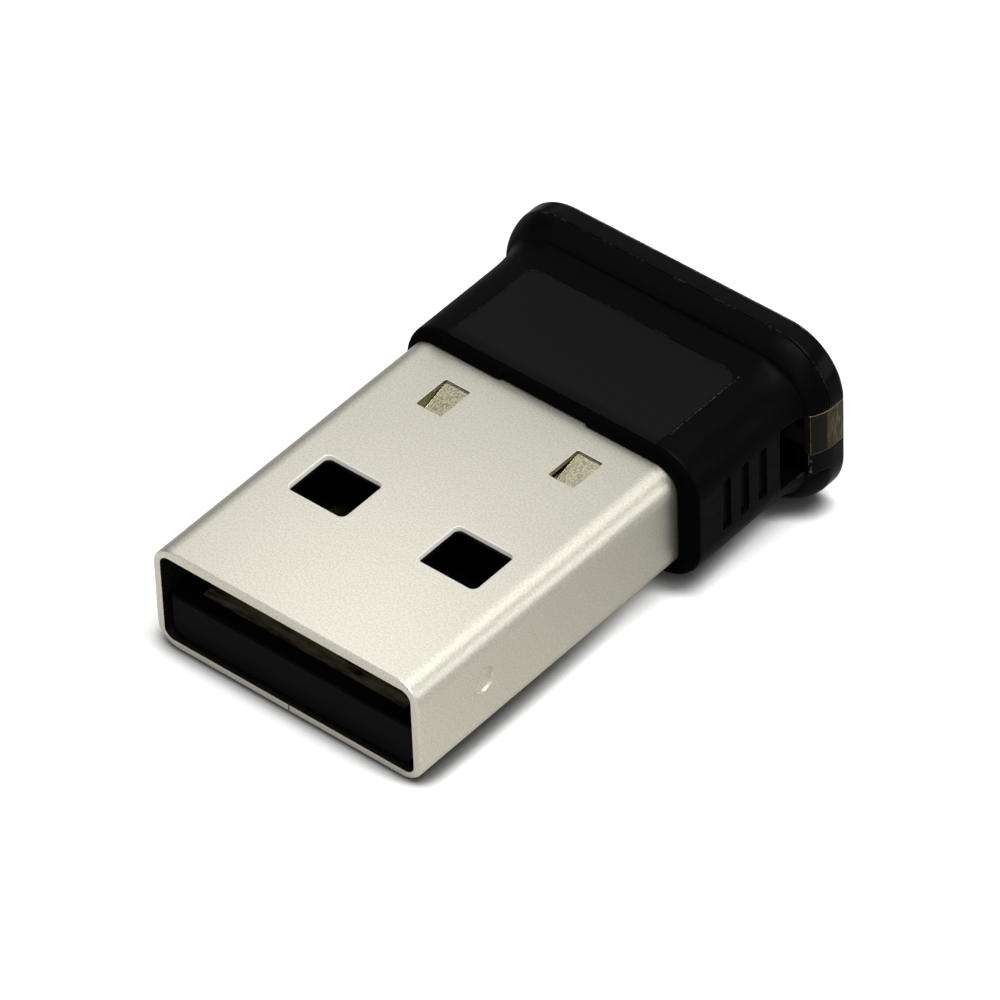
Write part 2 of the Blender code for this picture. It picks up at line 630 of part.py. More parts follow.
def voltage_regulator(middle, material):
    """A small moulded package on five bent leads."""
    across, along, height = REGULATOR
    bottom, top = board_level(height + REGULATOR_LIFT, True)
    low = (middle[0] - across / 2, middle[1] - along / 2, bottom + REGULATOR_LIFT)
    high = (middle[0] + across / 2, middle[1] + along / 2, top)
    regulator = add_object("voltage_regulator", block(low, high), PLUG, material)
    bevel(regulator, PACKAGE_EDGE, 1)
    rise = bottom + REGULATOR_LIFT + height / 2
    for side, steps in ((1, (-1, 0, 1)), (-1, (-1, 1))):
        face = middle[0] + side * across / 2
        knee = face + side * LEAD_FOOT / 2
        end = face + side * LEAD_FOOT
        for step in steps:
            y = middle[1] + step * LEAD_PITCH
            inner = face - side * LEAD_SHEET
            pieces = (
                ((inner, rise - LEAD_SHEET), (knee, rise)),
                ((knee - side * LEAD_SHEET, bottom), (knee, rise - LEAD_SHEET / 2)),
                ((knee - side * LEAD_SHEET / 2, bottom), (end, bottom + LEAD_SHEET)),
            )
            for index, (start, stop) in enumerate(pieces):
                xs = sorted((start[0], stop[0]))
                zs = sorted((start[1], stop[1]))
                half = LEAD_WIDTH / 2 - index * LEAD_STEP
                lead = block((xs[0], y - half, zs[0]), (xs[1], y + half, zs[1]))
                join(regulator, add_object(f"lead {side} {step} {index}", lead, PLUG))
    return regulator


def crystal(middle, material):
    """The clock crystal: a metal lid on a slightly larger ceramic base."""
    across, along, height = CRYSTAL
    bottom, top = board_level(height, True)
    step = bottom + CRYSTAL_BASE_HEIGHT
    low = (middle[0] - across / 2, middle[1] - along / 2, bottom)
    high = (middle[0] + across / 2, middle[1] + along / 2, step)
    item = add_object("crystal", block(low, high), PLUG, material)
    low = (low[0] + CRYSTAL_LID_INSET, low[1] + CRYSTAL_LID_INSET, step - CRYSTAL_LID_INSET)
    high = (high[0] - CRYSTAL_LID_INSET, high[1] - CRYSTAL_LID_INSET, top)
    join(item, add_object("crystal lid", block(low, high, "Z", 2 * CRYSTAL_LID_INSET), PLUG))
    return item


def housing(material):
    """The moulded housing: a lofted neck and flare, hollowed, with its panel and slots."""
    rings = []
    for sine, cosine in quarter_turn(5):
        y = HOUSING_FRONT + (1 - cosine) * FRONT_ROUNDING_LENGTH
        side = FRONT_ROUNDING_SIDE * (1 - sine)
        top = FRONT_ROUNDING_TOP * (1 - sine)
        rings.append((y, body_section(y, side, top)))
    stations = flare_stations(HOUSING_FRONT + FRONT_ROUNDING_LENGTH, HOUSING_REAR - PARTING_CHAMFER)
    rings += [(y, body_section(y)) for y in stations[1:]]
    rings.append((HOUSING_REAR, body_section(HOUSING_REAR, PARTING_CHAMFER, PARTING_CHAMFER)))
    item = add_object("housing", loft(rings), HOUSING, material)
    cut(item, collar_bore())
    cut(item, cavity())
    cut(item, cap_seat())
    cut(item, panel_recess())
    cut(item, front_relief())
    for side in (-1, 1):
        for index in range(GRIP_COUNT):
            cut(item, grip_slot(side, index))
    cut(item, side_slot())
    for side in (-1, 1):
        join(item, board_rail(side))
    return item


def collar_bore():
    """The opening that the shell sits in, on the plug's axis."""
    bm = rounded_bar(
        SHELL_WIDTH / 2 + COLLAR_GAP, SHELL_HEIGHT / 2 + COLLAR_GAP, SHELL_BEND + COLLAR_GAP,
        HOUSING_FRONT - REACH_THROUGH, SHELL_LENGTH + COLLAR_GAP,
    )
    return add_object("collar bore", bm, PLUG)


def cavity():
    """The hollow behind the shell, a wall's thickness inside the neck."""
    bm = rounded_bar(
        CAVITY_HALF_WIDTH, CAVITY_HALF_HEIGHT, NECK_CORNER - HOUSING_WALL,
        SHELL_LENGTH - COLLAR_GAP, HOUSING_REAR + REACH_THROUGH,
    )
    return add_object("cavity", bm, HOUSING)


def cap_seat():
    """The wider rebate at the rear that the cap's spigot enters."""
    bm = rounded_bar(
        CAP_SEAT_HALF_WIDTH, CAP_SEAT_HALF_HEIGHT, FLANGE_CORNER - HOUSING_WALL,
        CAP_SEAT_FRONT, HOUSING_REAR + 2 * REACH_THROUGH,
    )
    return add_object("cap seat", bm, HOUSING)


def panel_recess():
    """The sunk panel: flat to the rear, rolling down into the front face, with rounded rear corners."""
    floor = NECK_HEIGHT / 2 - PANEL_DEPTH
    above = NECK_HEIGHT / 2 + REACH_THROUGH
    outline = [(PANEL_REAR, above), (HOUSING_FRONT - REACH_THROUGH, above)]
    outline.append((HOUSING_FRONT - REACH_THROUGH, floor - PANEL_FRONT_FALL))
    for sine, cosine in quarter_turn(7):
        y = HOUSING_FRONT + (1 - cosine) * PANEL_FRONT_LENGTH
        outline.append((y, floor - (1 - sine) * PANEL_FRONT_FALL))
    outline.append((PANEL_REAR, floor))
    half = PANEL_WIDTH / 2
    recess = add_object("panel recess", side_profile(outline, -half, half), HOUSING)
    low = (-half, HOUSING_FRONT - 2 * REACH_THROUGH, 0)
    high = (half, PANEL_REAR, above + REACH_THROUGH)
    corners = add_object("panel corners", block(low, high, "Z", PANEL_CORNER, 6), HOUSING)
    combine(recess, corners, "INTERSECT")
    return recess


def front_relief():
    """The shallow notch in the middle of the front edge, above the shell."""
    low = (-RELIEF_WIDTH / 2, HOUSING_FRONT - REACH_THROUGH, 0)
    high = (RELIEF_WIDTH / 2, HOUSING_FRONT + RELIEF_DEPTH, NECK_HEIGHT)
    return add_object("front relief", block(low, high), PLUG)


def grip_slot(side, index):
    middle = HOUSING_FRONT + GRIP_FROM_FRONT + index * GRIP_PITCH
    floor = side * (NECK_WIDTH / 2 - GRIP_DEPTH)
    outside = side * NECK_WIDTH
    low = (min(floor, outside), middle - GRIP_WIDTH / 2, GRIP_RISE - GRIP_HEIGHT / 2)
    high = (max(floor, outside), middle + GRIP_WIDTH / 2, GRIP_RISE + GRIP_HEIGHT / 2)
    return add_object(f"grip slot {side} {index}", block(low, high, "X", GRIP_CORNER, 2), HOUSING)


def side_slot():
    """The opening in the right wall, from the lanyard slot through the flange's rear edge."""
    low = (CAVITY_HALF_WIDTH - HOUSING_WALL / 2, SIDE_SLOT_FRONT, -SIDE_SLOT_HEIGHT / 2)
    high = (FLANGE_WIDTH, HOUSING_REAR + REACH_THROUGH, SIDE_SLOT_HEIGHT / 2)
    return add_object("side slot", block(low, high, "X", SIDE_SLOT_CORNER), HOUSING)


def board_rail(side):
    """A ledge inside the wall, under the board's edge."""
    top = BOARD_BOTTOM - SOLDER_GAP
    wall = CAVITY_HALF_WIDTH + HOUSING_WALL / 3
    inner = CAVITY_HALF_WIDTH - RAIL_REACH
    low = (min(side * wall, side * inner), SHELL_LENGTH + RAIL_BEHIND_SHELL, top - RAIL_HEIGHT)
    high = (max(side * wall, side * inner), SIDE_SLOT_FRONT - FIT_GAP, top)
    return add_object(f"board rail {side}", block(low, high), HOUSING)


def flange_envelope(front):
    """The flange's outer form from a place along Y to the rounded rear edge of the cap."""
    straight_end = TOTAL_LENGTH - CAP_REAR_ROUNDING
    rings = [(y, body_section(y)) for y in flare_stations(front, straight_end)]
    for sine, cosine in quarter_turn(4)[1:]:
        inset = (1 - cosine) * CAP_REAR_ROUNDING
        y = straight_end + sine * CAP_REAR_ROUNDING
        rings.append((y, body_section(y, inset, inset)))
    return loft(rings)


def end_cap(material):
    """The rear cap, its spigot and the ear that closes the lower part of the side slot."""
    front = HOUSING_REAR + FIT_GAP
    item = add_object("end_cap", flange_envelope(SIDE_SLOT_REAR + FIT_GAP), HOUSING, material)
    low = (-FLANGE_WIDTH, SIDE_SLOT_FRONT, -FLANGE_HEIGHT)
    clearance = add_object("room for housing", block(low, (FLANGE_WIDTH, front, FLANGE_HEIGHT)), HOUSING)
    ear_low = (PLATE_INNER_X, SIDE_SLOT_FRONT - REACH_THROUGH, -SIDE_SLOT_HEIGHT / 2 + FIT_GAP)
    ear_high = (2 * FLANGE_WIDTH, front + REACH_THROUGH, WINDOW_BOTTOM - FIT_GAP)
    cut(clearance, add_object("ear", block(ear_low, ear_high), HOUSING))
    cut(item, clearance)
    spigot = rounded_bar(
        CAP_SEAT_HALF_WIDTH - FIT_GAP, CAP_SEAT_HALF_HEIGHT - FIT_GAP, FLANGE_CORNER - HOUSING_WALL,
        front - CAP_SPIGOT_DEPTH, front + CAP_HOLLOW_DEPTH,
    )
    join(item, add_object("cap spigot", spigot, HOUSING))
    hollow = rounded_bar(
        CAP_SEAT_HALF_WIDTH - FIT_GAP - CAP_SPIGOT_WALL, CAP_SEAT_HALF_HEIGHT - FIT_GAP - CAP_SPIGOT_WALL,
        FLANGE_CORNER - HOUSING_WALL - CAP_SPIGOT_WALL,
        front - CAP_SPIGOT_DEPTH - REACH_THROUGH, front + CAP_HOLLOW_DEPTH - FIT_GAP,
    )
    cut(item, add_object("cap hollow", hollow, HOUSING))
    cut(item, guide_room())
    return item


def guide_room():
    """What the light guide takes out of the cap: its plate and the way in for its stem."""
    low = (PLATE_INNER_X - FIT_GAP, SIDE_SLOT_FRONT, WINDOW_BOTTOM - FIT_GAP)
    high = (FLANGE_WIDTH, TOTAL_LENGTH + REACH_THROUGH, WINDOW_TOP + FIT_GAP)
    room = add_object("guide room", block(low, high), HOUSING)
    low, high = stem_corners()
    low = tuple(value - FIT_GAP for value in low)
    high = tuple(value + FIT_GAP for value in high)
    join(room, add_object("stem room", block(low, high), HOUSING))
    return room


def stem_corners():
    """Lowest and highest corner of the light guide's stem, which reaches in towards the lamp."""
    front = SIDE_SLOT_REAR + FIT_GAP + GUIDE_STEM_SETBACK
    middle = (WINDOW_TOP + WINDOW_BOTTOM) / 2 - BOARD_THICKNESS / 2
    low = (PLATE_INNER_X - GUIDE_STEM_LENGTH, front, middle - GUIDE_STEM_HEIGHT / 2)
    high = (PLATE_INNER_X + WINDOW_PLATE / 2, front + GUIDE_STEM_WIDTH, middle + GUIDE_STEM_HEIGHT / 2)
    return low, high


def light_guide(material):
    """The clear window plate, flush with the flange's side, with its stem."""
    item = add_object("light_guide", flange_envelope(SIDE_SLOT_REAR + FIT_GAP), HOUSING, material)
    low = (PLATE_INNER_X, SIDE_SLOT_FRONT, WINDOW_BOTTOM)
    high = (FLANGE_WIDTH, TOTAL_LENGTH + REACH_THROUGH, WINDOW_TOP)
    combine(item, add_object("window plate", block(low, high), HOUSING), "INTERSECT")
    join(item, add_object("guide stem", block(*stem_corners()), HOUSING))
    return item


def on_board(across, along):
    """A place on the board: shares of its half width, from the middle, and of its length, from the front."""
    return (across * BOARD_WIDTH / 2, BOARD_FRONT + along * BOARD_LENGTH)


def board_parts():
    """Everything soldered on the board."""
    black = make_material("chip plastic", CHIP_BLACK, 0.5)
    packaged_chip("radio_chip", on_board(-0.24, 0.53), RADIO_CHIP, black)
    packaged_chip("memory_chip", on_board(-0.3, 0.59), MEMORY_CHIP, black, False)
    voltage_regulator(on_board(0.61, 0.654), make_material("regulator plastic", CHIP_BLACK, 0.45))
    crystal(on_board(0.51, 0.316), make_material("crystal can", TIN, 0.3, 1.0))
    antenna = make_material("antenna ceramic", CERAMIC_WHITE, 0.35)
    end_terminal_part("chip_antenna", on_board(-0.59, 0.912), ANTENNA, antenna)
    lamp = make_material("lamp resin", (0.85, 0.85, 0.8), 0.2)
    place = (BOARD_WIDTH / 2 - LAMP_EDGE_GAP - LAMP[0] / 2, BOARD_REAR - LAMP[1] / 2 - SOLDER_GAP / 2)
    end_terminal_part("status_led", place, LAMP, lamp)
    ceramic = make_material("filter ceramic", CERAMIC_WHITE, 0.4)
    end_terminal_part("band_filter", on_board(0.0, 0.919), FILTER, ceramic)
    ferrite = make_material("ferrite", FERRITE_GREY, 0.5)
    end_terminal_part("power_inductor", on_board(0.88, 0.3), INDUCTOR, ferrite, "Y")
    beige = make_material("capacitor ceramic", CERAMIC_BEIGE, 0.4)
    for index in range(5):
        place = on_board(-0.86, 0.265 + 0.125 * index)
        end_terminal_part(f"capacitor_{index + 1}", place, CAPACITOR, beige)
    dark = make_material("resistor film", (0.03, 0.03, 0.035), 0.35)
    for index in range(3):
        place = on_board(0.41, 0.324 + 0.162 * index)
        end_terminal_part(f"resistor_{index + 1}", place, RESISTOR, dark, "X", False)


def build():
    plug_shell(make_material("nickel plated sheet", (0.72, 0.69, 0.62), 0.35, 1.0))
    contact_carrier(make_material("carrier plastic", (0.008, 0.008, 0.009), 0.45))
    plating = make_material("contact plating", (0.8, 0.62, 0.3), 0.3, 1.0)
    for name, (middle, front) in contact_places().items():
        contact(name, middle, front, plating)
    circuit_board(make_material("solder mask", (0.02, 0.06, 0.03), 0.35))
    board_parts()
    housing(make_material("housing plastic", (0.012, 0.012, 0.013), 0.22))
    end_cap(make_material("smoke plastic", (0.02, 0.022, 0.024), 0.15))
    light_guide(make_material("window plastic", (0.5, 0.46, 0.32), 0.25))


clear_objects()
PARTS = make_collection("usb radio adapter")
CUTTERS = make_collection("cutters")
HOUSING = make_empty("housing axis", (0, -TOTAL_LENGTH / 2, FLANGE_HEIGHT / 2))
PLUG = make_empty("plug axis", (PLUG_OFFSET_X, 0, 0), HOUSING)
FLIP = Matrix.Rotation(math.pi, 4, "Y")
build()
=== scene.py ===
"""The photographed look of the USB radio adapter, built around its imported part.

The visible pieces are built again with finer steps, so their curves and their reflections are smooth.
Their sizes are the part's, apart from a few small forms that follow the photo more closely. Places
along Y are measured from the plug's mouth, and those along X and Z from the middle of the plug or of
the housing. Each piece's location moves it from there to the part's frame.
"""

import math

import bmesh
import bpy
from mathutils import Matrix, Vector


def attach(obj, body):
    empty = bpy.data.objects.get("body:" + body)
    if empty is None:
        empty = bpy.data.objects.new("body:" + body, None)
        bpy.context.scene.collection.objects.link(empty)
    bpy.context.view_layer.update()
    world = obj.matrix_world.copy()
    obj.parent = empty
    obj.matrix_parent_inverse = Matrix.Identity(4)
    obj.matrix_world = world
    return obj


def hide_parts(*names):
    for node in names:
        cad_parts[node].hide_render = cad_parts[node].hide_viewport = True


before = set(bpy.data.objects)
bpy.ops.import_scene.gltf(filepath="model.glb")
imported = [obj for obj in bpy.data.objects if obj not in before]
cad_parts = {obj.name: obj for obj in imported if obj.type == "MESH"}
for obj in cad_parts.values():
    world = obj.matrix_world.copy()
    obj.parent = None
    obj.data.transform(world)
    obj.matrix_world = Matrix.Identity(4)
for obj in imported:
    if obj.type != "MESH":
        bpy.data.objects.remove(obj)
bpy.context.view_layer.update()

MM = 0.001

SHELL_WIDTH = 12.0 * MM
SHELL_HEIGHT = 4.5 * MM
SHELL_LENGTH = 15.2 * MM
SHELL_SHEET = 0.35 * MM
SHELL_BEND = 0.95 * MM
SHELL_INNER_BEND = 0.42 * MM
MOUTH_ROUND = 0.12 * MM
SEAM_GAP = 0.05 * MM
SEAM_LOCKS = (2.7 * MM, 9.4 * MM)
SEAM_LOCK_REACH = 0.8 * MM
SEAM_LOCK_NECK = 1.0 * MM
SEAM_LOCK_HEAD = 1.5 * MM

LATCH_SPACING = 5.9 * MM
LATCH_OFFSET_X = 0.04 * MM
LATCH_FRONT = 4.99 * MM
LATCH_WIDTH = 2.575 * MM
LATCH_LENGTH = 2.19 * MM
LATCH_CORNER = 0.25 * MM
# Pairs of a depth under the outer skin and the window's growth there, as in TAB_FLARE
LATCH_FLARE = ((0.205 * MM, 0.0), (0.03 * MM, 0.008 * MM), (0.01 * MM, 0.015 * MM), (0.0, 0.03 * MM))

TAB_SPACING = 5.98 * MM
TAB_OFFSET_X = 0.07 * MM
TAB_FRONT = 11.07 * MM
TAB_LENGTH = 1.58 * MM
TAB_WIDTH = 1.1 * MM
TAB_SIDE_GAP = 0.02 * MM
TAB_STEP = 0.12 * MM
TAB_FOLD = 0.03 * MM
TAB_SLOPE = math.radians(17.5)
TAB_ROOT = 0.2 * MM
TAB_EDGE_ROUND = 0.05 * MM
TAB_FLARE = ((0.04 * MM, 0.0), (0.02 * MM, 0.005 * MM), (0.006 * MM, 0.012 * MM), (0.0, 0.025 * MM))
TAB_SKIRT = 0.1 * MM
# Each burr's near and far side at the tab's tip, measured from the tab's left edge
TAB_LIPS = ((0.0, 0.045 * MM), (0.14 * MM, 0.165 * MM))
TAB_LIP_RISE = 0.015 * MM

DIMPLE_Y = 3.35 * MM
DIMPLE_Z = 0.3 * MM
DIMPLE_RADIUS = 0.58 * MM
DIMPLE_DEPTH = 0.1 * MM
DIMPLE_TAPER = 0.9

PLUG_OFFSET_X = -0.2 * MM
HOUSING_FRONT = 13.75 * MM
HOUSING_REAR = 20.45 * MM
NECK_WIDTH = 13.2 * MM
NECK_HEIGHT = 5.8 * MM
NECK_CORNER = 1.8 * MM
FLANGE_WIDTH = 14.48 * MM
FLANGE_HEIGHT = 7.48 * MM
FLANGE_CORNER = 2.39 * MM
FLARE_START = 18.2 * MM
FLARE_TURN = 19.65 * MM
FLARE_END = 20.65 * MM
FLARE_TURN_SHARE = 0.32
FLARE_ROUNDNESS = 1.55
FRONT_ROUND_LENGTH = 0.4 * MM
FRONT_ROUND_TOP = 0.43 * MM
FRONT_ROUND_SIDE = 0.22 * MM
FRONT_SKIRT_LENGTH = 0.3 * MM
HOUSING_WALL = 0.6 * MM
COLLAR_GAP = 0.05 * MM
RELIEF_WIDTH = 3.9 * MM
RELIEF_DEPTH = 0.1 * MM

PANEL_WIDTH = 9.4 * MM
PANEL_DEPTH = 0.025 * MM
PANEL_REAR = 18.6 * MM
PANEL_CORNER = 0.6 * MM
PANEL_FRONT_FALL = 0.45 * MM
PANEL_FRONT_LENGTH = 0.7 * MM

GRIP_FIRST = 15.48 * MM
GRIP_PITCH = 0.99 * MM
GRIP_WIDTH = 0.48 * MM
GRIP_HEIGHT = 2.27 * MM
GRIP_RISE = 0.115 * MM
GRIP_DEPTH = 0.13 * MM
GRIP_CORNER = 0.1 * MM

SIDE_SLOT_FRONT = 18.43 * MM
SIDE_SLOT_HEIGHT = 2.76 * MM
SIDE_SLOT_LENGTH = 1.27 * MM
SIDE_SLOT_CORNER = 0.15 * MM
FIT_GAP = 0.04 * MM
CAP_THICKNESS = 0.84 * MM
CAP_REAR_ROUND = 0.2 * MM
PARTING_CHAMFER = 0.03 * MM
PARTING_GAP = 0.015 * MM
CAP_SPIGOT_DEPTH = 0.5 * MM
CAP_SPIGOT_INSET = 0.68 * MM
CAP_SPIGOT_WALL = 0.55 * MM
CAP_HOLLOW_DEPTH = 0.21 * MM
CAP_SEAT_INSET = 0.64 * MM
CAP_SEAT_DEPTH = 0.55 * MM
RAIL_REACH = 1.1 * MM
RAIL_HEIGHT = 0.4 * MM
RAIL_FRONT = 16.6 * MM
RAIL_TOP = -1.15 * MM
# The tongue's tray, in the part's frame
TRAY_HALF_WIDTH = 4.59 * MM
TRAY_FRONT = -9.81 * MM
TRAY_LEVEL = 3.71 * MM
TRAY_LEVEL_MARGIN = 0.02 * MM
TRAY_FILM_LENGTH = 3.4 * MM
WINDOW_TOP = 1.34 * MM
WINDOW_BOTTOM = -0.45 * MM
WINDOW_PLATE = 0.6 * MM
GUIDE_STEM_LENGTH = 1.0 * MM
GUIDE_STEM_WIDTH = 0.45 * MM
GUIDE_STEM_HEIGHT = 0.7 * MM
GUIDE_STEM_SETBACK = 0.1 * MM
GUIDE_STEM_MIDDLE = 0.045 * MM

TOTAL_LENGTH = HOUSING_REAR + FIT_GAP + CAP_THICKNESS
SHELL_TOP = SHELL_HEIGHT / 2
SIDE_SLOT_REAR = SIDE_SLOT_FRONT + SIDE_SLOT_LENGTH
PLATE_INNER_X = FLANGE_WIDTH / 2 - WINDOW_PLATE
CAVITY_HALF_WIDTH = NECK_WIDTH / 2 - HOUSING_WALL
CAVITY_HALF_HEIGHT = NECK_HEIGHT / 2 - HOUSING_WALL
REACH = 1.0 * MM
LEAST_STATION_STEP = 0.001 * MM
SMOOTH_BELOW = math.radians(28.0)

CORNER_STEPS = 24
BLOCK_CORNER_STEPS = 8
WINDOW_CORNER_STEPS = 8
GRIP_CORNER_STEPS = 4
MOUTH_STEPS = 8
FOLD_STEPS = 8
FRONT_STEPS = 10
PANEL_STEPS = 14
FLARE_HOLLOW_STEPS = 16
FLARE_FULL_STEPS = 22
REAR_STEPS = 8
DIMPLE_STEPS = 64

# A face whose normal has less than WALL_SHARE along Z is a window's wall, and a face that leans out of
# the shell by more than OUTWARD_SHARE belongs to the outer skin
WALL_SHARE = 0.9
OUTWARD_SHARE = 0.3
SHELL_MARGIN = 0.02 * MM
PANEL_MARGIN = 0.01 * MM

HOUSING_PLACE = Vector((0, -TOTAL_LENGTH / 2, FLANGE_HEIGHT / 2))
PLUG_PLACE = HOUSING_PLACE + Vector((PLUG_OFFSET_X, 0, 0))


def solid(name, bm, material=None, place=None):
    """An object of a bmesh. Cutters have no material and aren't rendered."""
    bmesh.ops.recalc_face_normals(bm, faces=bm.faces)
    mesh = bpy.data.meshes.new(name)
    bm.to_mesh(mesh)
    bm.free()
    item = bpy.data.objects.new(name, mesh)
    bpy.context.scene.collection.objects.link(item)
    if place is not None:
        item.location = place
    if material is None:
        item.hide_render = True
        item.hide_viewport = True
    else:
        mesh.materials.append(material)
    return item


def combine(item, other, operation="DIFFERENCE"):
    boolean = item.modifiers.new(other.name, "BOOLEAN")
    boolean.operation = operation
    boolean.object = other
    boolean.solver = "EXACT"


def settle(item):
    """Turns the modifiers into mesh, then shades flat faces flat and curved ones smooth."""
    graph = bpy.context.evaluated_depsgraph_get()
    mesh = bpy.data.meshes.new_from_object(item.evaluated_get(graph))
    item.modifiers.clear()
    item.data = mesh
    mesh.shade_smooth()
    mesh.set_sharp_from_angle(angle=SMOOTH_BELOW)
    weighted = item.modifiers.new("weighted normals", "WEIGHTED_NORMAL")
    weighted.keep_sharp = True
    weighted.weight = 100
    return item


def rounded_section(half_width, half_height, radius, steps=CORNER_STEPS):
    points = []
    for quarter, (side, level) in enumerate(((1, 1), (-1, 1), (-1, -1), (1, -1))):
        for step in range(steps + 1):
            angle = math.pi / 2 * (quarter + step / steps)
            x = side * (half_width - radius) + radius * math.cos(angle)
            z = level * (half_height - radius) + radius * math.sin(angle)
            points.append((x, z))
    return points


def loft(rings, closed=False):
    """A solid through rings of X and Z points. A closed one runs from its last ring to its first."""
    bm = bmesh.new()
    loops = [[bm.verts.new((x, y, z)) for x, z in section] for y, section in rings]
    following_loops = loops[1:] + loops[:1] if closed else loops[1:]
    for front, rear in zip(loops, following_loops):
        for index in range(len(front)):
            following = (index + 1) % len(front)
            bm.faces.new((front[index], rear[index], rear[following], front[following]))
    if not closed:
        bm.faces.new(loops[0])
        bm.faces.new(reversed(loops[-1]))
    return bm


def rounded_bar(half_width, half_height, radius, front, rear):
    section = rounded_section(half_width, half_height, radius)
    return loft([(front, section), (rear, section)])


def block(low, high, round_axis=None, radius=0.0, segments=BLOCK_CORNER_STEPS):
    """A block between two corners, with its edges along one axis rounded."""
    low = Vector(low)
    high = Vector(high)
    bm = bmesh.new()
    place = Matrix.Translation((low + high) / 2) @ Matrix.Diagonal((*(high - low), 1.0))
    bmesh.ops.create_cube(bm, size=1.0, matrix=place)
    if round_axis is not None:
        axis = "XYZ".index(round_axis)
        edges = [edge for edge in bm.edges if abs((edge.verts[0].co - edge.verts[1].co)[axis]) > 0]
        bmesh.ops.bevel(bm, geom=edges, offset=radius, segments=segments, profile=0.5, affect="EDGES")
    return bm


def side_profile(outline, low_x, high_x):
    """A solid of an outline of Y and Z points, from one X to another."""
    bm = bmesh.new()
    face = bm.faces.new([bm.verts.new((low_x, y, z)) for y, z in outline])
    grown = bmesh.ops.extrude_face_region(bm, geom=[face])
    moved = [part for part in grown["geom"] if isinstance(part, bmesh.types.BMVert)]
    bmesh.ops.translate(bm, verts=moved, vec=(high_x - low_x, 0, 0))
    return bm


def quarter_turn(steps):
    """Sines and cosines from 0 to 90 degrees."""
    angles = [math.pi / 2 * step / steps for step in range(steps + 1)]
    return [(math.sin(angle), math.cos(angle)) for angle in angles]


def flare_share(y):
    """0 on the neck and 1 on the flange: a hollow curve that turns over into a full one."""
    if y <= FLARE_START:
        return 0.0
    if y < FLARE_TURN:
        run = (y - FLARE_START) / (FLARE_TURN - FLARE_START)
        return FLARE_TURN_SHARE * (1 - math.sqrt(1 - run ** 2))
    left = max((FLARE_END - y) / (FLARE_END - FLARE_TURN), 0.0)
    full = (1 - left ** FLARE_ROUNDNESS) ** (1 / FLARE_ROUNDNESS)
    return FLARE_TURN_SHARE + (1 - FLARE_TURN_SHARE) * full


def body_section(y, inset_side=0.0, inset_top=0.0):
    """The housing's outer section at a place along it, which the cap and the window share."""
    share = flare_share(y)
    half_width = (NECK_WIDTH + share * (FLANGE_WIDTH - NECK_WIDTH)) / 2 - inset_side
    half_height = (NECK_HEIGHT + share * (FLANGE_HEIGHT - NECK_HEIGHT)) / 2 - inset_top
    radius = NECK_CORNER + share * (FLANGE_CORNER - NECK_CORNER) - min(inset_side, inset_top)
    return rounded_section(half_width, half_height, radius)


def flare_stations(front, rear):
    """The places along the housing that need a section, closer together where it curves."""
    stations = [front]
    for sine, _ in quarter_turn(FLARE_HOLLOW_STEPS):
        stations.append(FLARE_START + sine * (FLARE_TURN - FLARE_START))
    for _, cosine in quarter_turn(FLARE_FULL_STEPS):
        stations.append(FLARE_TURN + (1 - cosine) * (FLARE_END - FLARE_TURN))
    stations = sorted(y for y in stations if front <= y < rear - PARTING_CHAMFER)
    pairs = zip(stations, stations[1:] + [rear])
    return [y for y, following in pairs if following - y > LEAST_STATION_STEP] + [rear]


def shell_window(middle_x, middle_y, width, length, corner, flare, through=False):
    """The cutter of a window, which widens up to the shell's outer skin as the flare says."""
    profile = [(SHELL_TOP - depth, growth) for depth, growth in flare]
    profile.append((2 * SHELL_TOP, flare[-1][1]))
    if through:
        profile = [(-level, grow) for level, grow in reversed(profile)] + profile
    else:
        profile = [(0.0, 0.0)] + profile
    rings = []
    for level, grow in profile:
        section = rounded_section(
            width / 2 + grow, length / 2 + grow, corner + grow, WINDOW_CORNER_STEPS
        )
        rings.append((level, section))
    bm = loft(rings)
    for vertex in bm.verts:
        x, level, y = vertex.co
        vertex.co = (middle_x + x, middle_y + y, level)
    return bm


def seam_ribbon():
    """The seam's gap along the bottom with its dovetail locks, as an upright ribbon."""
    path = [(0.0, -REACH)]
    for index, middle in enumerate(SEAM_LOCKS):
        reach = SEAM_LOCK_REACH * (1 if index % 2 == 0 else -1)
        path.append((0.0, middle - SEAM_LOCK_NECK / 2))
        path.append((reach, middle - SEAM_LOCK_HEAD / 2))
        path.append((reach, middle + SEAM_LOCK_HEAD / 2))
        path.append((0.0, middle + SEAM_LOCK_NECK / 2))
    path.append((0.0, SHELL_LENGTH + REACH))
    bm = bmesh.new()
    points = [bm.verts.new((x, y, -SHELL_TOP - REACH)) for x, y in path]
    edges = [bm.edges.new(pair) for pair in zip(points, points[1:])]
    grown = bmesh.ops.extrude_edge_only(bm, edges=edges)
    moved = [part for part in grown["geom"] if isinstance(part, bmesh.types.BMVert)]
    bmesh.ops.translate(bm, verts=moved, vec=(0, 0, REACH + SHELL_HEIGHT / 3))
    ribbon = solid("seam", bm, None, PLUG_PLACE)
    gap = ribbon.modifiers.new("gap", "SOLIDIFY")
    gap.thickness = SEAM_GAP
    gap.offset = 0.0
    gap.use_even_offset = True
    return ribbon


def dimple_disc(name, middle_x):
    """The cutter of the dimple, which also makes its boss on the inner skin."""
    bm = bmesh.new()
    place = Matrix.Translation((middle_x, DIMPLE_Y, DIMPLE_Z)) @ Matrix.Rotation(math.pi / 2, 4, "Y")
    bmesh.ops.create_cone(
        bm, cap_ends=True, segments=DIMPLE_STEPS, radius1=DIMPLE_RADIUS * DIMPLE_TAPER,
        radius2=DIMPLE_RADIUS, depth=2 * DIMPLE_DEPTH, matrix=place,
    )
    return solid(name, bm, None, PLUG_PLACE)


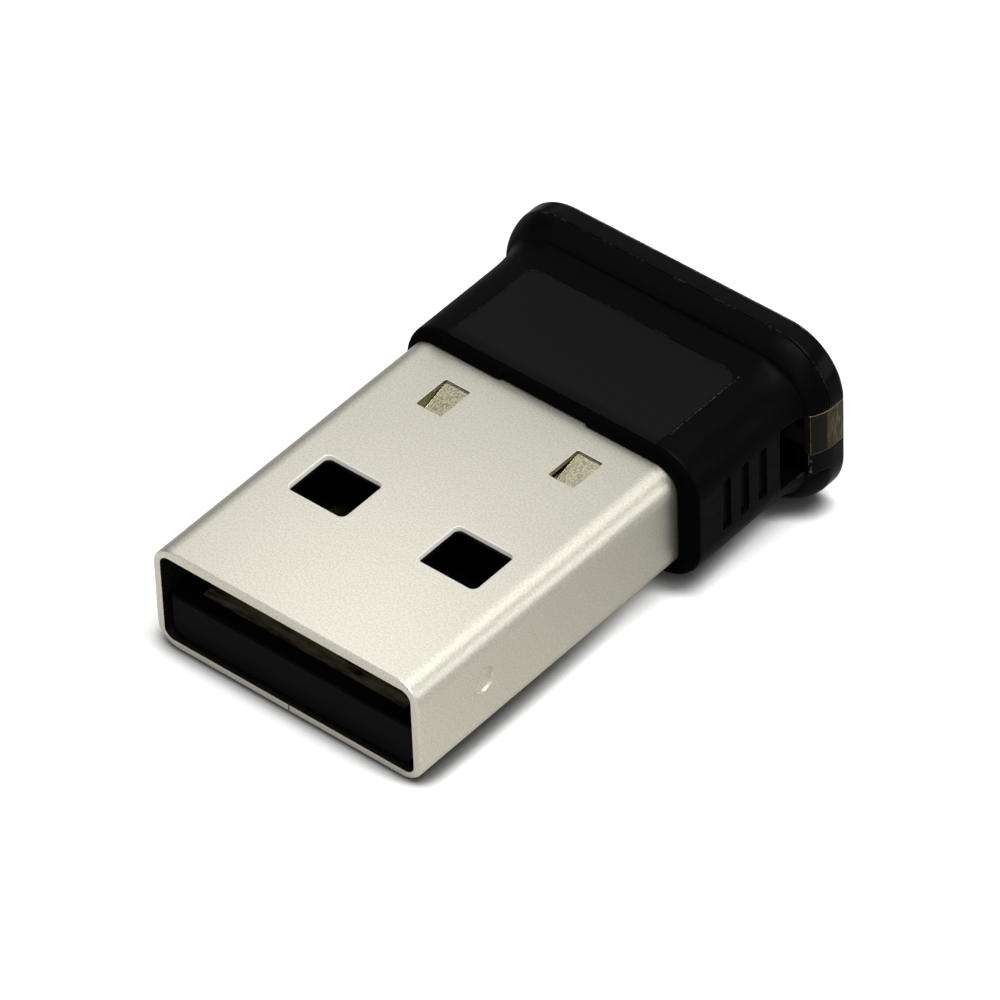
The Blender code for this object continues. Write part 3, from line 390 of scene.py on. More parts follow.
def repaint(item, material, chosen):
    """Gives a second material to the faces that a test on their middle and normal picks."""
    item.data.materials.append(material)
    last = len(item.data.materials) - 1
    for polygon in item.data.polygons:
        if chosen(polygon.center, polygon.normal):
            polygon.material_index = last


def make_shell(metal, inside, sheared, drawn):
    """The folded sheet. At the mouth its outer skin rolls in to the sheared edge.

    The inner skin has a dark copy of the metal that paints the shade inside the shell, the latch
    windows' sheared walls have a metal of their own, and the tabs' drawn walls a darker copy that paints
    their shade.
    """
    wide = SHELL_WIDTH / 2
    inner = rounded_section(wide - SHELL_SHEET, SHELL_TOP - SHELL_SHEET, SHELL_INNER_BEND)
    rings = [(SHELL_LENGTH, inner), (0.0, inner)]
    for sine, cosine in quarter_turn(MOUTH_STEPS):
        inset = MOUTH_ROUND * (1 - sine)
        section = rounded_section(wide - inset, SHELL_TOP - inset, SHELL_BEND - inset)
        rings.append((MOUTH_ROUND * (1 - cosine), section))
    rings.append((SHELL_LENGTH, rounded_section(wide, SHELL_TOP, SHELL_BEND)))
    shell = solid("shell", loft(rings, closed=True), metal, PLUG_PLACE)
    for side in (-1, 1):
        cutter = shell_window(
            LATCH_OFFSET_X + side * LATCH_SPACING / 2, LATCH_FRONT + LATCH_LENGTH / 2,
            LATCH_WIDTH, LATCH_LENGTH, LATCH_CORNER, LATCH_FLARE, through=True,
        )
        combine(shell, solid(f"latch {side}", cutter, None, PLUG_PLACE))
    for side in (-1, 1):
        cutter = shell_window(
            TAB_OFFSET_X + side * TAB_SPACING / 2, TAB_FRONT + TAB_LENGTH / 2,
            TAB_WIDTH, TAB_LENGTH, TAB_EDGE_ROUND, TAB_FLARE,
        )
        combine(shell, solid(f"tab window {side}", cutter, None, PLUG_PLACE))
    combine(shell, seam_ribbon())
    combine(shell, dimple_disc("dimple boss", wide - SHELL_SHEET), "UNION")
    combine(shell, dimple_disc("dimple", wide))
    settle(shell)
    margin = SHELL_MARGIN

    def is_inside(middle, normal):
        if abs(middle.x) > wide - SHELL_SHEET + margin or middle.y < margin:
            return False
        if normal.z * middle.z > OUTWARD_SHARE * abs(middle.z):
            return False
        in_latch_rows = middle.y < TAB_FRONT - SHELL_SHEET
        depth = LATCH_FLARE[0][0] + margin if in_latch_rows else SHELL_SHEET - margin
        return abs(middle.z) < SHELL_TOP - depth

    def is_latch_wall(middle, normal):
        across = abs(abs(middle.x - LATCH_OFFSET_X) - LATCH_SPACING / 2)
        along = abs(middle.y - LATCH_FRONT - LATCH_LENGTH / 2)
        if across > LATCH_WIDTH / 2 + 2 * margin or along > LATCH_LENGTH / 2 + 2 * margin:
            return False
        return abs(normal.z) < WALL_SHARE and abs(middle.z) > SHELL_TOP - LATCH_FLARE[0][0]

    def is_tab_wall(middle, normal):
        across = abs(abs(middle.x - TAB_OFFSET_X) - TAB_SPACING / 2)
        along = abs(middle.y - TAB_FRONT - TAB_LENGTH / 2)
        if across > TAB_WIDTH / 2 + margin or along > TAB_LENGTH / 2 + margin:
            return False
        return abs(normal.z) < WALL_SHARE and middle.z > 0

    # The inner skin and the tabs' walls get darker copies of the metal as painted shade
    repaint(shell, inside, is_inside)
    repaint(shell, sheared, is_latch_wall)
    repaint(shell, drawn, is_tab_wall)
    return shell


def make_tab(side, face_metal, shaded_drawn_metal, bright_metal):
    """A lanced tab: its fold and sloping face, the drawn walls beside it and its left edge's burrs."""
    name = "left" if side < 0 else "right"
    rear = TAB_FRONT + TAB_LENGTH
    middle = TAB_OFFSET_X + side * TAB_SPACING / 2
    inside = SHELL_TOP - SHELL_SHEET / 2
    root = Vector((rear - TAB_FOLD, SHELL_TOP - TAB_STEP))
    across = Vector((-math.sin(TAB_SLOPE), -math.cos(TAB_SLOPE))) * SHELL_SHEET
    tip = root + Vector((-1.0, -math.tan(TAB_SLOPE))) * (TAB_LENGTH - TAB_FOLD - TAB_SIDE_GAP)
    outline = [(rear + TAB_ROOT, inside)]
    for step in range(FOLD_STEPS + 1):
        share = step / FOLD_STEPS
        drop = share * share * (3 - 2 * share) * (TAB_STEP - TAB_EDGE_ROUND)
        outline.append((rear - share * TAB_FOLD, SHELL_TOP - TAB_EDGE_ROUND - drop))
    outline += [tuple(tip), tuple(tip + across), tuple(root + across + Vector((TAB_ROOT / 2, 0)))]
    outline.append((rear + TAB_ROOT, root.y - SHELL_SHEET / 2))
    half = TAB_WIDTH / 2 - TAB_SIDE_GAP
    profile = side_profile(outline, middle - half, middle + half)
    pieces = [solid(f"tab_{name}", profile, face_metal, PLUG_PLACE)]
    wall = TAB_WIDTH / 2
    outline = [(rear, inside), (TAB_FRONT, inside)]
    outline += [(TAB_FRONT, tip.y - SHELL_SHEET / 2), (rear, root.y - SHELL_SHEET / 2)]
    for end, low in (("a", middle - wall - TAB_SKIRT), ("b", middle + wall)):
        profile = side_profile(outline, low, low + TAB_SKIRT)
        pieces.append(solid(f"tab_{name}_wall_{end}", profile, shaded_drawn_metal, PLUG_PLACE))
    for number, (near, far) in enumerate(TAB_LIPS):
        bm = bmesh.new()
        edge = middle - half
        corners = ((edge, root.x, root.y), (edge + near, tip.x, tip.y), (edge + far, tip.x, tip.y))
        low = [bm.verts.new((x, y, z - TAB_LIP_RISE)) for x, y, z in corners]
        high = [bm.verts.new((x, y, z + TAB_LIP_RISE)) for x, y, z in corners]
        bm.faces.new(low)
        bm.faces.new(reversed(high))
        for index in range(3):
            following = (index + 1) % 3
            bm.faces.new((low[index], low[following], high[following], high[index]))
        pieces.append(solid(f"tab_{name}_burr_{number}", bm, bright_metal, PLUG_PLACE))
    return [settle(piece) for piece in pieces]


def make_housing(material, panel_material, shaded_skirt_material):
    """The neck and the flange up to the cap. The panel has a finish of its own, and the front edge a
    duller copy of the black as painted shade.
    """
    rings = []
    for sine, cosine in quarter_turn(FRONT_STEPS):
        y = HOUSING_FRONT + (1 - cosine) * FRONT_ROUND_LENGTH
        side = FRONT_ROUND_SIDE * (1 - sine)
        top = FRONT_ROUND_TOP * (1 - sine)
        rings.append((y, body_section(y, side, top)))
    seam = HOUSING_REAR + FIT_GAP - PARTING_GAP
    stations = flare_stations(HOUSING_FRONT + FRONT_ROUND_LENGTH, seam - PARTING_CHAMFER)
    rings += [(y, body_section(y)) for y in stations[1:]]
    rings.append((seam, body_section(seam, PARTING_CHAMFER, PARTING_CHAMFER)))
    item = solid("housing_body", loft(rings), material, HOUSING_PLACE)
    bore = rounded_bar(
        SHELL_WIDTH / 2 + COLLAR_GAP, SHELL_HEIGHT / 2 + COLLAR_GAP, SHELL_BEND + COLLAR_GAP,
        HOUSING_FRONT - REACH, SHELL_LENGTH + COLLAR_GAP,
    )
    combine(item, solid("bore", bore, None, PLUG_PLACE))
    hollow = rounded_bar(
        CAVITY_HALF_WIDTH, CAVITY_HALF_HEIGHT, NECK_CORNER - HOUSING_WALL,
        SHELL_LENGTH - COLLAR_GAP, HOUSING_REAR + REACH,
    )
    combine(item, solid("hollow", hollow, None, HOUSING_PLACE))
    seat = rounded_bar(
        FLANGE_WIDTH / 2 - CAP_SEAT_INSET, FLANGE_HEIGHT / 2 - CAP_SEAT_INSET,
        FLANGE_CORNER - HOUSING_WALL, HOUSING_REAR - CAP_SEAT_DEPTH, HOUSING_REAR + 2 * REACH,
    )
    combine(item, solid("seat", seat, None, HOUSING_PLACE))
    floor = NECK_HEIGHT / 2 - PANEL_DEPTH
    above = NECK_HEIGHT / 2 + REACH
    outline = [(PANEL_REAR, above), (HOUSING_FRONT - REACH, above)]
    outline.append((HOUSING_FRONT - REACH, floor - PANEL_FRONT_FALL))
    for sine, cosine in quarter_turn(PANEL_STEPS):
        y = HOUSING_FRONT + (1 - cosine) * PANEL_FRONT_LENGTH
        outline.append((y, floor - (1 - sine) * PANEL_FRONT_FALL))
    outline.append((PANEL_REAR, floor))
    half = PANEL_WIDTH / 2
    recess = solid("recess", side_profile(outline, -half, half), None, HOUSING_PLACE)
    low = (-half, HOUSING_FRONT - 2 * REACH, 0)
    high = (half, PANEL_REAR, above + REACH)
    corners = solid("recess corners", block(low, high, "Z", PANEL_CORNER), None, HOUSING_PLACE)
    combine(recess, corners, "INTERSECT")
    combine(item, recess)
    low = (-RELIEF_WIDTH / 2, HOUSING_FRONT - REACH, 0)
    high = (RELIEF_WIDTH / 2, HOUSING_FRONT + RELIEF_DEPTH, NECK_HEIGHT)
    combine(item, solid("relief", block(low, high), None, PLUG_PLACE))
    for side in (-1, 1):
        for index in range(3):
            middle = GRIP_FIRST + index * GRIP_PITCH
            ends = sorted((side * (NECK_WIDTH / 2 - GRIP_DEPTH), side * NECK_WIDTH))
            low = (ends[0], middle - GRIP_WIDTH / 2, GRIP_RISE - GRIP_HEIGHT / 2)
            high = (ends[1], middle + GRIP_WIDTH / 2, GRIP_RISE + GRIP_HEIGHT / 2)
            grip = block(low, high, "X", GRIP_CORNER, GRIP_CORNER_STEPS)
            combine(item, solid(f"grip {side} {index}", grip, None, HOUSING_PLACE))
    low = (CAVITY_HALF_WIDTH - HOUSING_WALL / 2, SIDE_SLOT_FRONT, -SIDE_SLOT_HEIGHT / 2)
    high = (FLANGE_WIDTH, HOUSING_REAR + REACH, SIDE_SLOT_HEIGHT / 2)
    combine(item, solid("side slot", block(low, high, "X", SIDE_SLOT_CORNER), None, HOUSING_PLACE))
    for side in (-1, 1):
        outer = CAVITY_HALF_WIDTH + HOUSING_WALL / 3
        ends = sorted((side * outer, side * (CAVITY_HALF_WIDTH - RAIL_REACH)))
        low = (ends[0], RAIL_FRONT, RAIL_TOP - RAIL_HEIGHT)
        high = (ends[1], SIDE_SLOT_FRONT - FIT_GAP, RAIL_TOP)
        combine(item, solid(f"rail {side}", block(low, high), None, HOUSING_PLACE), "UNION")
    settle(item)
    margin = PANEL_MARGIN

    def is_panel(middle, normal):
        if abs(middle.x) > half - margin or middle.y > PANEL_REAR - margin or normal.z < 0.2:
            return False
        return floor - PANEL_FRONT_FALL - margin < middle.z < floor + margin

    # The front edge gets a duller copy of the black, as painted shade
    def is_skirt(middle, normal):
        return middle.y < HOUSING_FRONT + FRONT_SKIRT_LENGTH

    repaint(item, panel_material, is_panel)
    repaint(item, shaded_skirt_material, is_skirt)
    return item


def flange_envelope(front):
    """The flange's full form behind a place, which the cap and the window are cut from."""
    straight_end = TOTAL_LENGTH - CAP_REAR_ROUND
    rings = [(y, body_section(y)) for y in flare_stations(front, straight_end)]
    for sine, cosine in quarter_turn(REAR_STEPS)[1:]:
        inset = (1 - cosine) * CAP_REAR_ROUND
        rings.append((straight_end + sine * CAP_REAR_ROUND, body_section(straight_end, inset, inset)))
    return loft(rings)


def make_cap(material):
    """The smoke cap: its ear reaches forward below the window, and its spigot sits in the housing."""
    front = HOUSING_REAR + FIT_GAP
    item = solid("cap", flange_envelope(SIDE_SLOT_REAR + FIT_GAP), material, HOUSING_PLACE)
    low = (-FLANGE_WIDTH, SIDE_SLOT_FRONT, -FLANGE_HEIGHT)
    room = solid("room", block(low, (FLANGE_WIDTH, front, FLANGE_HEIGHT)), None, HOUSING_PLACE)
    low = (PLATE_INNER_X, SIDE_SLOT_FRONT - REACH, -SIDE_SLOT_HEIGHT / 2 + FIT_GAP)
    high = (2 * FLANGE_WIDTH, front + REACH, WINDOW_BOTTOM - FIT_GAP)
    combine(room, solid("ear", block(low, high), None, HOUSING_PLACE))
    combine(item, room)
    low = (PLATE_INNER_X - FIT_GAP, SIDE_SLOT_FRONT, WINDOW_BOTTOM - FIT_GAP)
    high = (FLANGE_WIDTH, TOTAL_LENGTH + REACH, WINDOW_TOP + FIT_GAP)
    combine(item, solid("window room", block(low, high), None, HOUSING_PLACE))
    spigot = rounded_bar(
        FLANGE_WIDTH / 2 - CAP_SPIGOT_INSET, FLANGE_HEIGHT / 2 - CAP_SPIGOT_INSET,
        FLANGE_CORNER - CAP_SPIGOT_INSET, front - CAP_SPIGOT_DEPTH, front + CAP_SPIGOT_DEPTH / 2,
    )
    combine(item, solid("spigot", spigot, None, HOUSING_PLACE), "UNION")
    inset = CAP_SPIGOT_INSET + CAP_SPIGOT_WALL
    cup = rounded_bar(
        FLANGE_WIDTH / 2 - inset, FLANGE_HEIGHT / 2 - inset, FLANGE_CORNER - inset,
        front - CAP_SPIGOT_DEPTH - REACH, front + CAP_HOLLOW_DEPTH,
    )
    combine(item, solid("cup", cup, None, HOUSING_PLACE))
    combine(item, solid("window room again", block(low, high), None, HOUSING_PLACE))
    return settle(item)


def make_window(material):
    """The light guide's plate, which closes the slot's rear, and the stem behind it."""
    item = solid("window", flange_envelope(SIDE_SLOT_REAR + FIT_GAP), material, HOUSING_PLACE)
    low = (PLATE_INNER_X, SIDE_SLOT_FRONT, WINDOW_BOTTOM)
    high = (FLANGE_WIDTH, TOTAL_LENGTH + REACH, WINDOW_TOP)
    combine(item, solid("plate", block(low, high), None, HOUSING_PLACE), "INTERSECT")
    front = SIDE_SLOT_REAR + FIT_GAP + GUIDE_STEM_SETBACK
    low = (PLATE_INNER_X - GUIDE_STEM_LENGTH, front, GUIDE_STEM_MIDDLE - GUIDE_STEM_HEIGHT / 2)
    rear = front + GUIDE_STEM_WIDTH
    high = (PLATE_INNER_X + WINDOW_PLATE / 2, rear, GUIDE_STEM_MIDDLE + GUIDE_STEM_HEIGHT / 2)
    combine(item, solid("stem", block(low, high), None, HOUSING_PLACE), "UNION")
    return settle(item)


class Paint:
    """A Principled material and short ways to add the nodes that give it its surface."""

    def __init__(self, name, colour, roughness, metallic=0.0, specular=0.5):
        self.material = bpy.data.materials.new(name)
        self.material.use_nodes = True
        self.tree = self.material.node_tree
        self.shader = self.tree.nodes["Principled BSDF"]
        self.shader.inputs["Metallic"].default_value = metallic
        self.shader.inputs["Specular IOR Level"].default_value = specular
        self.shader.inputs["Base Color"].default_value = (*colour, 1.0)
        self.shader.inputs["Roughness"].default_value = roughness
        self.places = self.tree.nodes.new("ShaderNodeTexCoord")

    def noise(self, size, detail=2.0, stretch=(1, 1, 1)):
        """Noise whose features are about this size in metres."""
        mapping = self.tree.nodes.new("ShaderNodeMapping")
        mapping.inputs["Scale"].default_value = [value / size for value in stretch]
        texture = self.tree.nodes.new("ShaderNodeTexNoise")
        texture.inputs["Scale"].default_value = 1.0
        texture.inputs["Detail"].default_value = detail
        self.tree.links.new(self.places.outputs["Object"], mapping.inputs["Vector"])
        self.tree.links.new(mapping.outputs["Vector"], texture.inputs["Vector"])
        return texture.outputs["Fac"]

    def spread(self, value, low, high, start=0.3, stop=0.7):
        """A value between start and stop, spread to run from low to high."""
        node = self.tree.nodes.new("ShaderNodeMapRange")
        node.inputs["From Min"].default_value = start
        node.inputs["From Max"].default_value = stop
        node.inputs["To Min"].default_value = low
        node.inputs["To Max"].default_value = high
        self.tree.links.new(value, node.inputs["Value"])
        return node.outputs["Result"]

    def blend(self, share, first, second):
        """A colour between two, by a share. Each can be a colour or a socket."""
        node = self.tree.nodes.new("ShaderNodeMix")
        node.data_type = "RGBA"
        self.tree.links.new(share, node.inputs["Factor"])
        for index, value in ((6, first), (7, second)):
            if isinstance(value, tuple):
                node.inputs[index].default_value = (*value, 1.0)
            else:
                self.tree.links.new(value, node.inputs[index])
        return node.outputs[2]

    def bump(self, height, depth, after=None):
        """Surface relief of a depth in metres, on top of rounded edges or an earlier relief."""
        node = self.tree.nodes.new("ShaderNodeBump")
        node.inputs["Distance"].default_value = depth
        node.inputs["Strength"].default_value = 1.0
        self.tree.links.new(height, node.inputs["Height"])
        if after is not None:
            self.tree.links.new(after, node.inputs["Normal"])
        return node.outputs["Normal"]

    def soft_edges(self, radius):
        """The surface's direction with its edges rounded by a radius in metres."""
        node = self.tree.nodes.new("ShaderNodeBevel")
        node.samples = 6
        node.inputs["Radius"].default_value = radius
        return node.outputs["Normal"]

    def sharp_edges(self, radius):
        """Near 1 along sharp edges and 0 on open faces."""
        geometry = self.tree.nodes.new("ShaderNodeNewGeometry")
        node = self.tree.nodes.new("ShaderNodeVectorMath")
        node.operation = "DOT_PRODUCT"
        self.tree.links.new(self.soft_edges(radius), node.inputs[0])
        self.tree.links.new(geometry.outputs["Normal"], node.inputs[1])
        return self.spread(node.outputs["Value"], 1.0, 0.0, 0.9, 0.99)

    def facing(self, axis):
        """How far the surface faces along one of the object's own axes."""
        node = self.tree.nodes.new("ShaderNodeSeparateXYZ")
        self.tree.links.new(self.places.outputs["Normal"], node.inputs["Vector"])
        return node.outputs[axis]

    def place(self, axis):
        """The place along one of the object's own axes."""
        node = self.tree.nodes.new("ShaderNodeSeparateXYZ")
        self.tree.links.new(self.places.outputs["Object"], node.inputs["Vector"])
        return node.outputs[axis]

    def within(self, low, high):
        """1 inside a box that lies along the object's own axes."""
        share = None
        for axis, least, most in zip("XYZ", low, high):
            off = self.math("ABSOLUTE", self.math("SUBTRACT", self.place(axis), (least + most) / 2))
            inside = self.math("LESS_THAN", off, (most - least) / 2)
            share = inside if share is None else self.times(share, inside)
        return share

    def math(self, operation, first, second=0.0):
        """A calculation with two values, each of which can be a number or a socket."""
        node = self.tree.nodes.new("ShaderNodeMath")
        node.operation = operation
        for index, value in enumerate((first, second)):
            if isinstance(value, (int, float)):
                node.inputs[index].default_value = value
            else:
                self.tree.links.new(value, node.inputs[index])
        return node.outputs["Value"]

    def crevice(self, distance):
        """Near 1 on open faces and near 0 in hollows."""
        node = self.tree.nodes.new("ShaderNodeAmbientOcclusion")
        node.samples = 8
        node.inputs["Distance"].default_value = distance
        return node.outputs["AO"]

    def times(self, first, *others):
        """The product of some values."""
        for other in others:
            first = self.math("MULTIPLY", first, other)
        return first

    def use(self, **inputs):
        """Links sockets to the shader's inputs, named with underscores for spaces."""
        for name, value in inputs.items():
            self.tree.links.new(value, self.shader.inputs[name.replace("_", " ")])
        return self


def shell_paint(name, dark, light, shade):
    """Nickel plate with the fine matte grain of tumbled sheet, with painted shade that browns and
    darkens its deepest corners.
    """
    paint = Paint(name, light, 0.4, 1.0)
    grain = paint.noise(0.075 * MM, 2.0)
    clouds = paint.noise(1.6 * MM, 3.0)
    tone = paint.blend(paint.spread(grain, 0.0, 1.0, 0.36, 0.64), dark, light)
    # Painted shade: hollows and the corner beside the housing take the shade colour
    tone = paint.blend(paint.spread(paint.crevice(0.5 * MM), 0.0, 1.0, 0.1, 0.42), shade, tone)
    relief = paint.bump(grain, 0.007 * MM, paint.soft_edges(0.04 * MM))
    rough = paint.spread(clouds, 0.398, 0.412)
    return paint.use(Base_Color=tone, Roughness=rough, Normal=relief).material


def black_paint(name, colour, roughness, specular, wear_and_highlight, rear_edge=False, painted_highlight_boxes=()):
    """Moulded black plastic with faint waves and wipe marks, and lighter scratches along its edges,
    partly wear and partly painted highlight.

    The lighter scratches can also run along the edge that rolls to the rear and fill boxes, as painted
    highlight lines.
    """
    paint = Paint(name, colour, roughness, 0.0, specular)
    waves = paint.noise(1.5 * MM, 2.0)
    wipes = paint.noise(0.5 * MM, 3.0, (1.0, 0.4, 1.0))
    patches = paint.spread(paint.noise(0.9 * MM, 2.0), 0.0, 1.0, 0.45, 0.62)
    scratches = paint.spread(paint.noise(0.11 * MM, 3.0), 0.0, 1.0, 0.42, 0.62)
    # The edges' lighter scratches are partly wear and partly painted highlight
    wear = paint.sharp_edges(0.045 * MM)
    if rear_edge:
        # Painted highlight along the edge that rolls to the rear
        rearward = paint.facing("Y")
        rolled = paint.times(
            paint.spread(rearward, 0.0, 1.0, 0.1, 0.3), paint.spread(rearward, 1.0, 0.0, 0.45, 0.75)
        )
        wear = paint.math("MAXIMUM", wear, rolled)
    marks = paint.times(wear, paint.times(scratches, patches))
    # Painted highlight lines: scratches that fill the given boxes
    for low, high in painted_highlight_boxes:
        marks = paint.math("MAXIMUM", marks, paint.times(paint.within(low, high), scratches))
    tone = paint.blend(marks, colour, wear_and_highlight)
    relief = paint.bump(waves, 0.01 * MM, paint.soft_edges(0.07 * MM))
    rough = paint.spread(wipes, roughness * 0.9, roughness * 1.15)
    return paint.use(Base_Color=tone, Roughness=rough, Normal=relief).material


def panel_paint(name, edge, colour):
    """The sunk panel's fine matte texture, which gives way to a darker colour where it rolls down, as
    painted shade.
    """
    paint = Paint(name, colour, 0.5, 0.0, 0.05)
    sand = paint.noise(0.06 * MM, 2.0)
    # Painted shade: the front roll takes the darker edge colour
    rolled = paint.spread(paint.place("Y"), 0.0, 1.0, HOUSING_FRONT + 0.2 * MM, HOUSING_FRONT + 0.8 * MM)
    tone = paint.blend(rolled, edge, paint.blend(sand, tuple(value * 0.8 for value in colour), colour))
    relief = paint.bump(sand, 0.003 * MM)
    return paint.use(Base_Color=tone, Normal=relief).material


def window_paint(name, shaded, colour, painted_highlight):
    """Tinted clear plastic, with painted shade where it curves forward, and mould streaks and edge
    glints painted in as highlights.
    """
    paint = Paint(name, colour, 0.35, 0.0, 0.06)
    clouds = paint.noise(0.45 * MM, 3.0)
    streaks = paint.noise(0.14 * MM, 3.0, (0.3, 1.8, 0.3))
    rear = paint.spread(paint.place("Y"), 0.0, 1.0, FLARE_END - 0.33 * MM, FLARE_END - 0.27 * MM)
    tone = paint.blend(paint.spread(clouds, 0.0, 1.0), tuple(value * 0.6 for value in colour), colour)
    # Painted highlight: lighter mould streaks
    tone = paint.blend(paint.spread(streaks, 0.0, 0.2, 0.5, 0.72), tone, painted_highlight)
    # Painted shade: ahead of the flange's end the plastic takes the shaded colour
    tone = paint.blend(rear, shaded, tone)
    # Painted glints along the plate's outer edges
    uneven = paint.spread(paint.noise(0.2 * MM, 3.0), 0.4, 1.0, 0.4, 0.6)
    outer = paint.math("GREATER_THAN", paint.place("X"), PLATE_INNER_X + 0.1 * MM)
    glints = paint.times(paint.sharp_edges(0.04 * MM), uneven, outer)
    tone = paint.blend(glints, tone, painted_highlight)
    relief = paint.bump(streaks, 0.003 * MM, paint.soft_edges(0.05 * MM))
    return paint.use(Base_Color=tone, Normal=relief).material


def carrier_paint(name, colour, residue):
    """Black moulded plastic, with a brownish film in the shallow tray on the tongue's top."""
    paint = Paint(name, colour, 0.4, 0.0, 0.02)
    low = (PLUG_OFFSET_X - TRAY_HALF_WIDTH, TRAY_FRONT, TRAY_LEVEL - TRAY_LEVEL_MARGIN)
    rear = TRAY_FRONT + TRAY_FILM_LENGTH
    tray = paint.within(low, (PLUG_OFFSET_X + TRAY_HALF_WIDTH, rear, TRAY_LEVEL + TRAY_LEVEL_MARGIN))
    smears = paint.spread(paint.noise(0.3 * MM, 5.0, (0.3, 1.2, 1.0)), 0.0, 1.0, 0.3, 0.75)
    film = paint.blend(smears, colour, residue)
    tone = paint.blend(tray, colour, film)
    relief = paint.bump(paint.noise(0.09 * MM, 2.0), 0.003 * MM)
    return paint.use(Base_Color=tone, Normal=relief).material


def board_part_paint(name, node, axis, share, body, tin, roughness, both_ends=True):
    """A part on the board: its body, and tinned metal beyond a share of its half size along an axis."""
    paint = Paint(name, body, roughness)
    places = [vertex.co["XYZ".index(axis)] for vertex in node.data.vertices]
    middle = (min(places) + max(places)) / 2
    off = paint.math("SUBTRACT", paint.place(axis), middle)
    if both_ends:
        off = paint.math("ABSOLUTE", off)
    metal = paint.math("GREATER_THAN", off, (max(places) - min(places)) / 2 * share)
    speckle = paint.noise(0.12 * MM, 3.0)
    tone = paint.blend(paint.spread(speckle, 0.0, 1.0), tuple(value * 0.75 for value in body), body)
    tone = paint.blend(metal, tone, tin)
    relief = paint.bump(speckle, 0.004 * MM, paint.soft_edges(0.03 * MM))
    return paint.use(Base_Color=tone, Metallic=metal, Normal=relief).material


def board_paint(name, mask, laminate):
    """Dark solder mask over a glass weave, with wandering copper lines just showing through it."""
    paint = Paint(name, mask, 0.35)
    weave = paint.noise(0.2 * MM, 1.0, (1.0, 3.0, 1.0))
    lines = paint.spread(paint.noise(0.9 * MM, 0.0), 0.0, 1.0, 0.49, 0.5)
    tone = paint.blend(lines, mask, laminate)
    relief = paint.bump(weave, 0.004 * MM, paint.bump(lines, 0.01 * MM))
    return paint.use(Base_Color=tone, Normal=relief).material


# The metals' colours are the grain's dark and light one, and the painted shade in deep corners
shell_metal = shell_paint("shell metal", (0.63, 0.605, 0.525), (0.75, 0.72, 0.635), (0.10, 0.085, 0.06))
# A dark copy of the nickel paints the shade inside the shell
shaded_inner_metal = shell_paint("inner metal painted shade", (0.05, 0.048, 0.04), (0.10, 0.095, 0.08), (0.004, 0.004, 0.003))
# Darker copies of the shell's nickel paint the shade on the tab's face, on the walls drawn beside it and
# on its burrs
shaded_tab_metal = shell_paint("tab metal painted shade", (0.24, 0.222, 0.15), (0.455, 0.43, 0.31), (0.10, 0.09, 0.05))
shaded_drawn_metal = shell_paint("drawn metal painted shade", (0.12, 0.105, 0.05), (0.2, 0.175, 0.095), (0.09, 0.08, 0.04))
shaded_burr_metal = shell_paint("burr metal painted shade", (0.36, 0.34, 0.26), (0.48, 0.455, 0.36), (0.3, 0.28, 0.2))
sheared_paint = Paint("sheared metal", (0.8, 0.785, 0.74), 0.8, 0.3)
shear_marks = sheared_paint.noise(0.05 * MM, 2.0, (1.0, 1.0, 0.15))
sheared_paint.use(Normal=sheared_paint.bump(shear_marks, 0.006 * MM))

# Boxes around the edges that the photo shows as thin bright lines
# The scratch colour in these boxes is painted highlight
EDGE_LINES = (
    (
        (PANEL_WIDTH / 2 + 0.04 * MM, 14.7 * MM, NECK_HEIGHT / 2 - 0.3 * MM),
        (PANEL_WIDTH / 2 + 0.09 * MM, 18.5 * MM, NECK_HEIGHT),
    ),
    (
        (NECK_WIDTH / 2, SIDE_SLOT_FRONT, -SIDE_SLOT_HEIGHT / 2 - 0.05 * MM),
        (FLANGE_WIDTH, SIDE_SLOT_REAR, -SIDE_SLOT_HEIGHT / 2 + 0.03 * MM),
    ),
)
# The ear's front edge gets a painted highlight line
EAR_LINE = ((
    (NECK_WIDTH / 2 + 0.21 * MM, SIDE_SLOT_REAR, -SIDE_SLOT_HEIGHT / 2),
    (FLANGE_WIDTH, SIDE_SLOT_REAR + FIT_GAP + 0.03 * MM, WINDOW_BOTTOM),
),)
BLACK = (0.001, 0.001, 0.001)
SMOKE = (0.002, 0.002, 0.002)
# The last colour is the edges' wear and painted highlight
black = black_paint("black plastic", BLACK, 0.42, 0.03, (0.03, 0.03, 0.028), painted_highlight_boxes=EDGE_LINES)
# A duller, less glossy copy of the black paints the shade on the housing's front edge
skirt = black_paint("front skirt painted shade plastic", BLACK, 0.6, 0.008, (0.008, 0.008, 0.008))
# The first colour is the painted shade on the panel's front roll
panel = panel_paint("panel plastic", (0.0012, 0.0012, 0.0012), (0.0042, 0.0042, 0.004))
# The cap's lighter scratches are wear and painted highlight, and paint the highlight along its rolled
# rear edge
smoke = black_paint(
    "smoke plastic", SMOKE, 0.2, 0.05, (0.09, 0.09, 0.085), rear_edge=True, painted_highlight_boxes=EAR_LINE
)
# The colours are the painted shade, the tint and the painted highlight
khaki = window_paint(
    "window plastic", (0.0095, 0.0076, 0.0055), (0.055, 0.0445, 0.0235), (0.42, 0.37, 0.23)
)

rides = [
    (make_shell(shell_metal, shaded_inner_metal, sheared_paint.material, shaded_drawn_metal), "plug_shell", "shell"),
    (make_housing(black, panel, skirt), "housing", "housing"),
    (make_cap(smoke), "end_cap", "smoke"),
    (make_window(khaki), "light_guide", "window"),
]
for side in (-1, 1):
    for piece in make_tab(side, shaded_tab_metal, shaded_drawn_metal, shaded_burr_metal):
        rides.append((piece, "plug_shell", "shell"))
for item, node, slot in rides:
    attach(item, "root")
    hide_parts(node)

contact_paint = Paint("contact plating", (0.05, 0.038, 0.018), 0.4, 1.0)
scratches = contact_paint.noise(0.05 * MM, 2.0, (1.0, 0.1, 1.0))
contact_paint.use(Roughness=contact_paint.spread(scratches, 0.28, 0.5))
TIN = (0.6, 0.6, 0.57)
CHIP = (0.012, 0.012, 0.013)
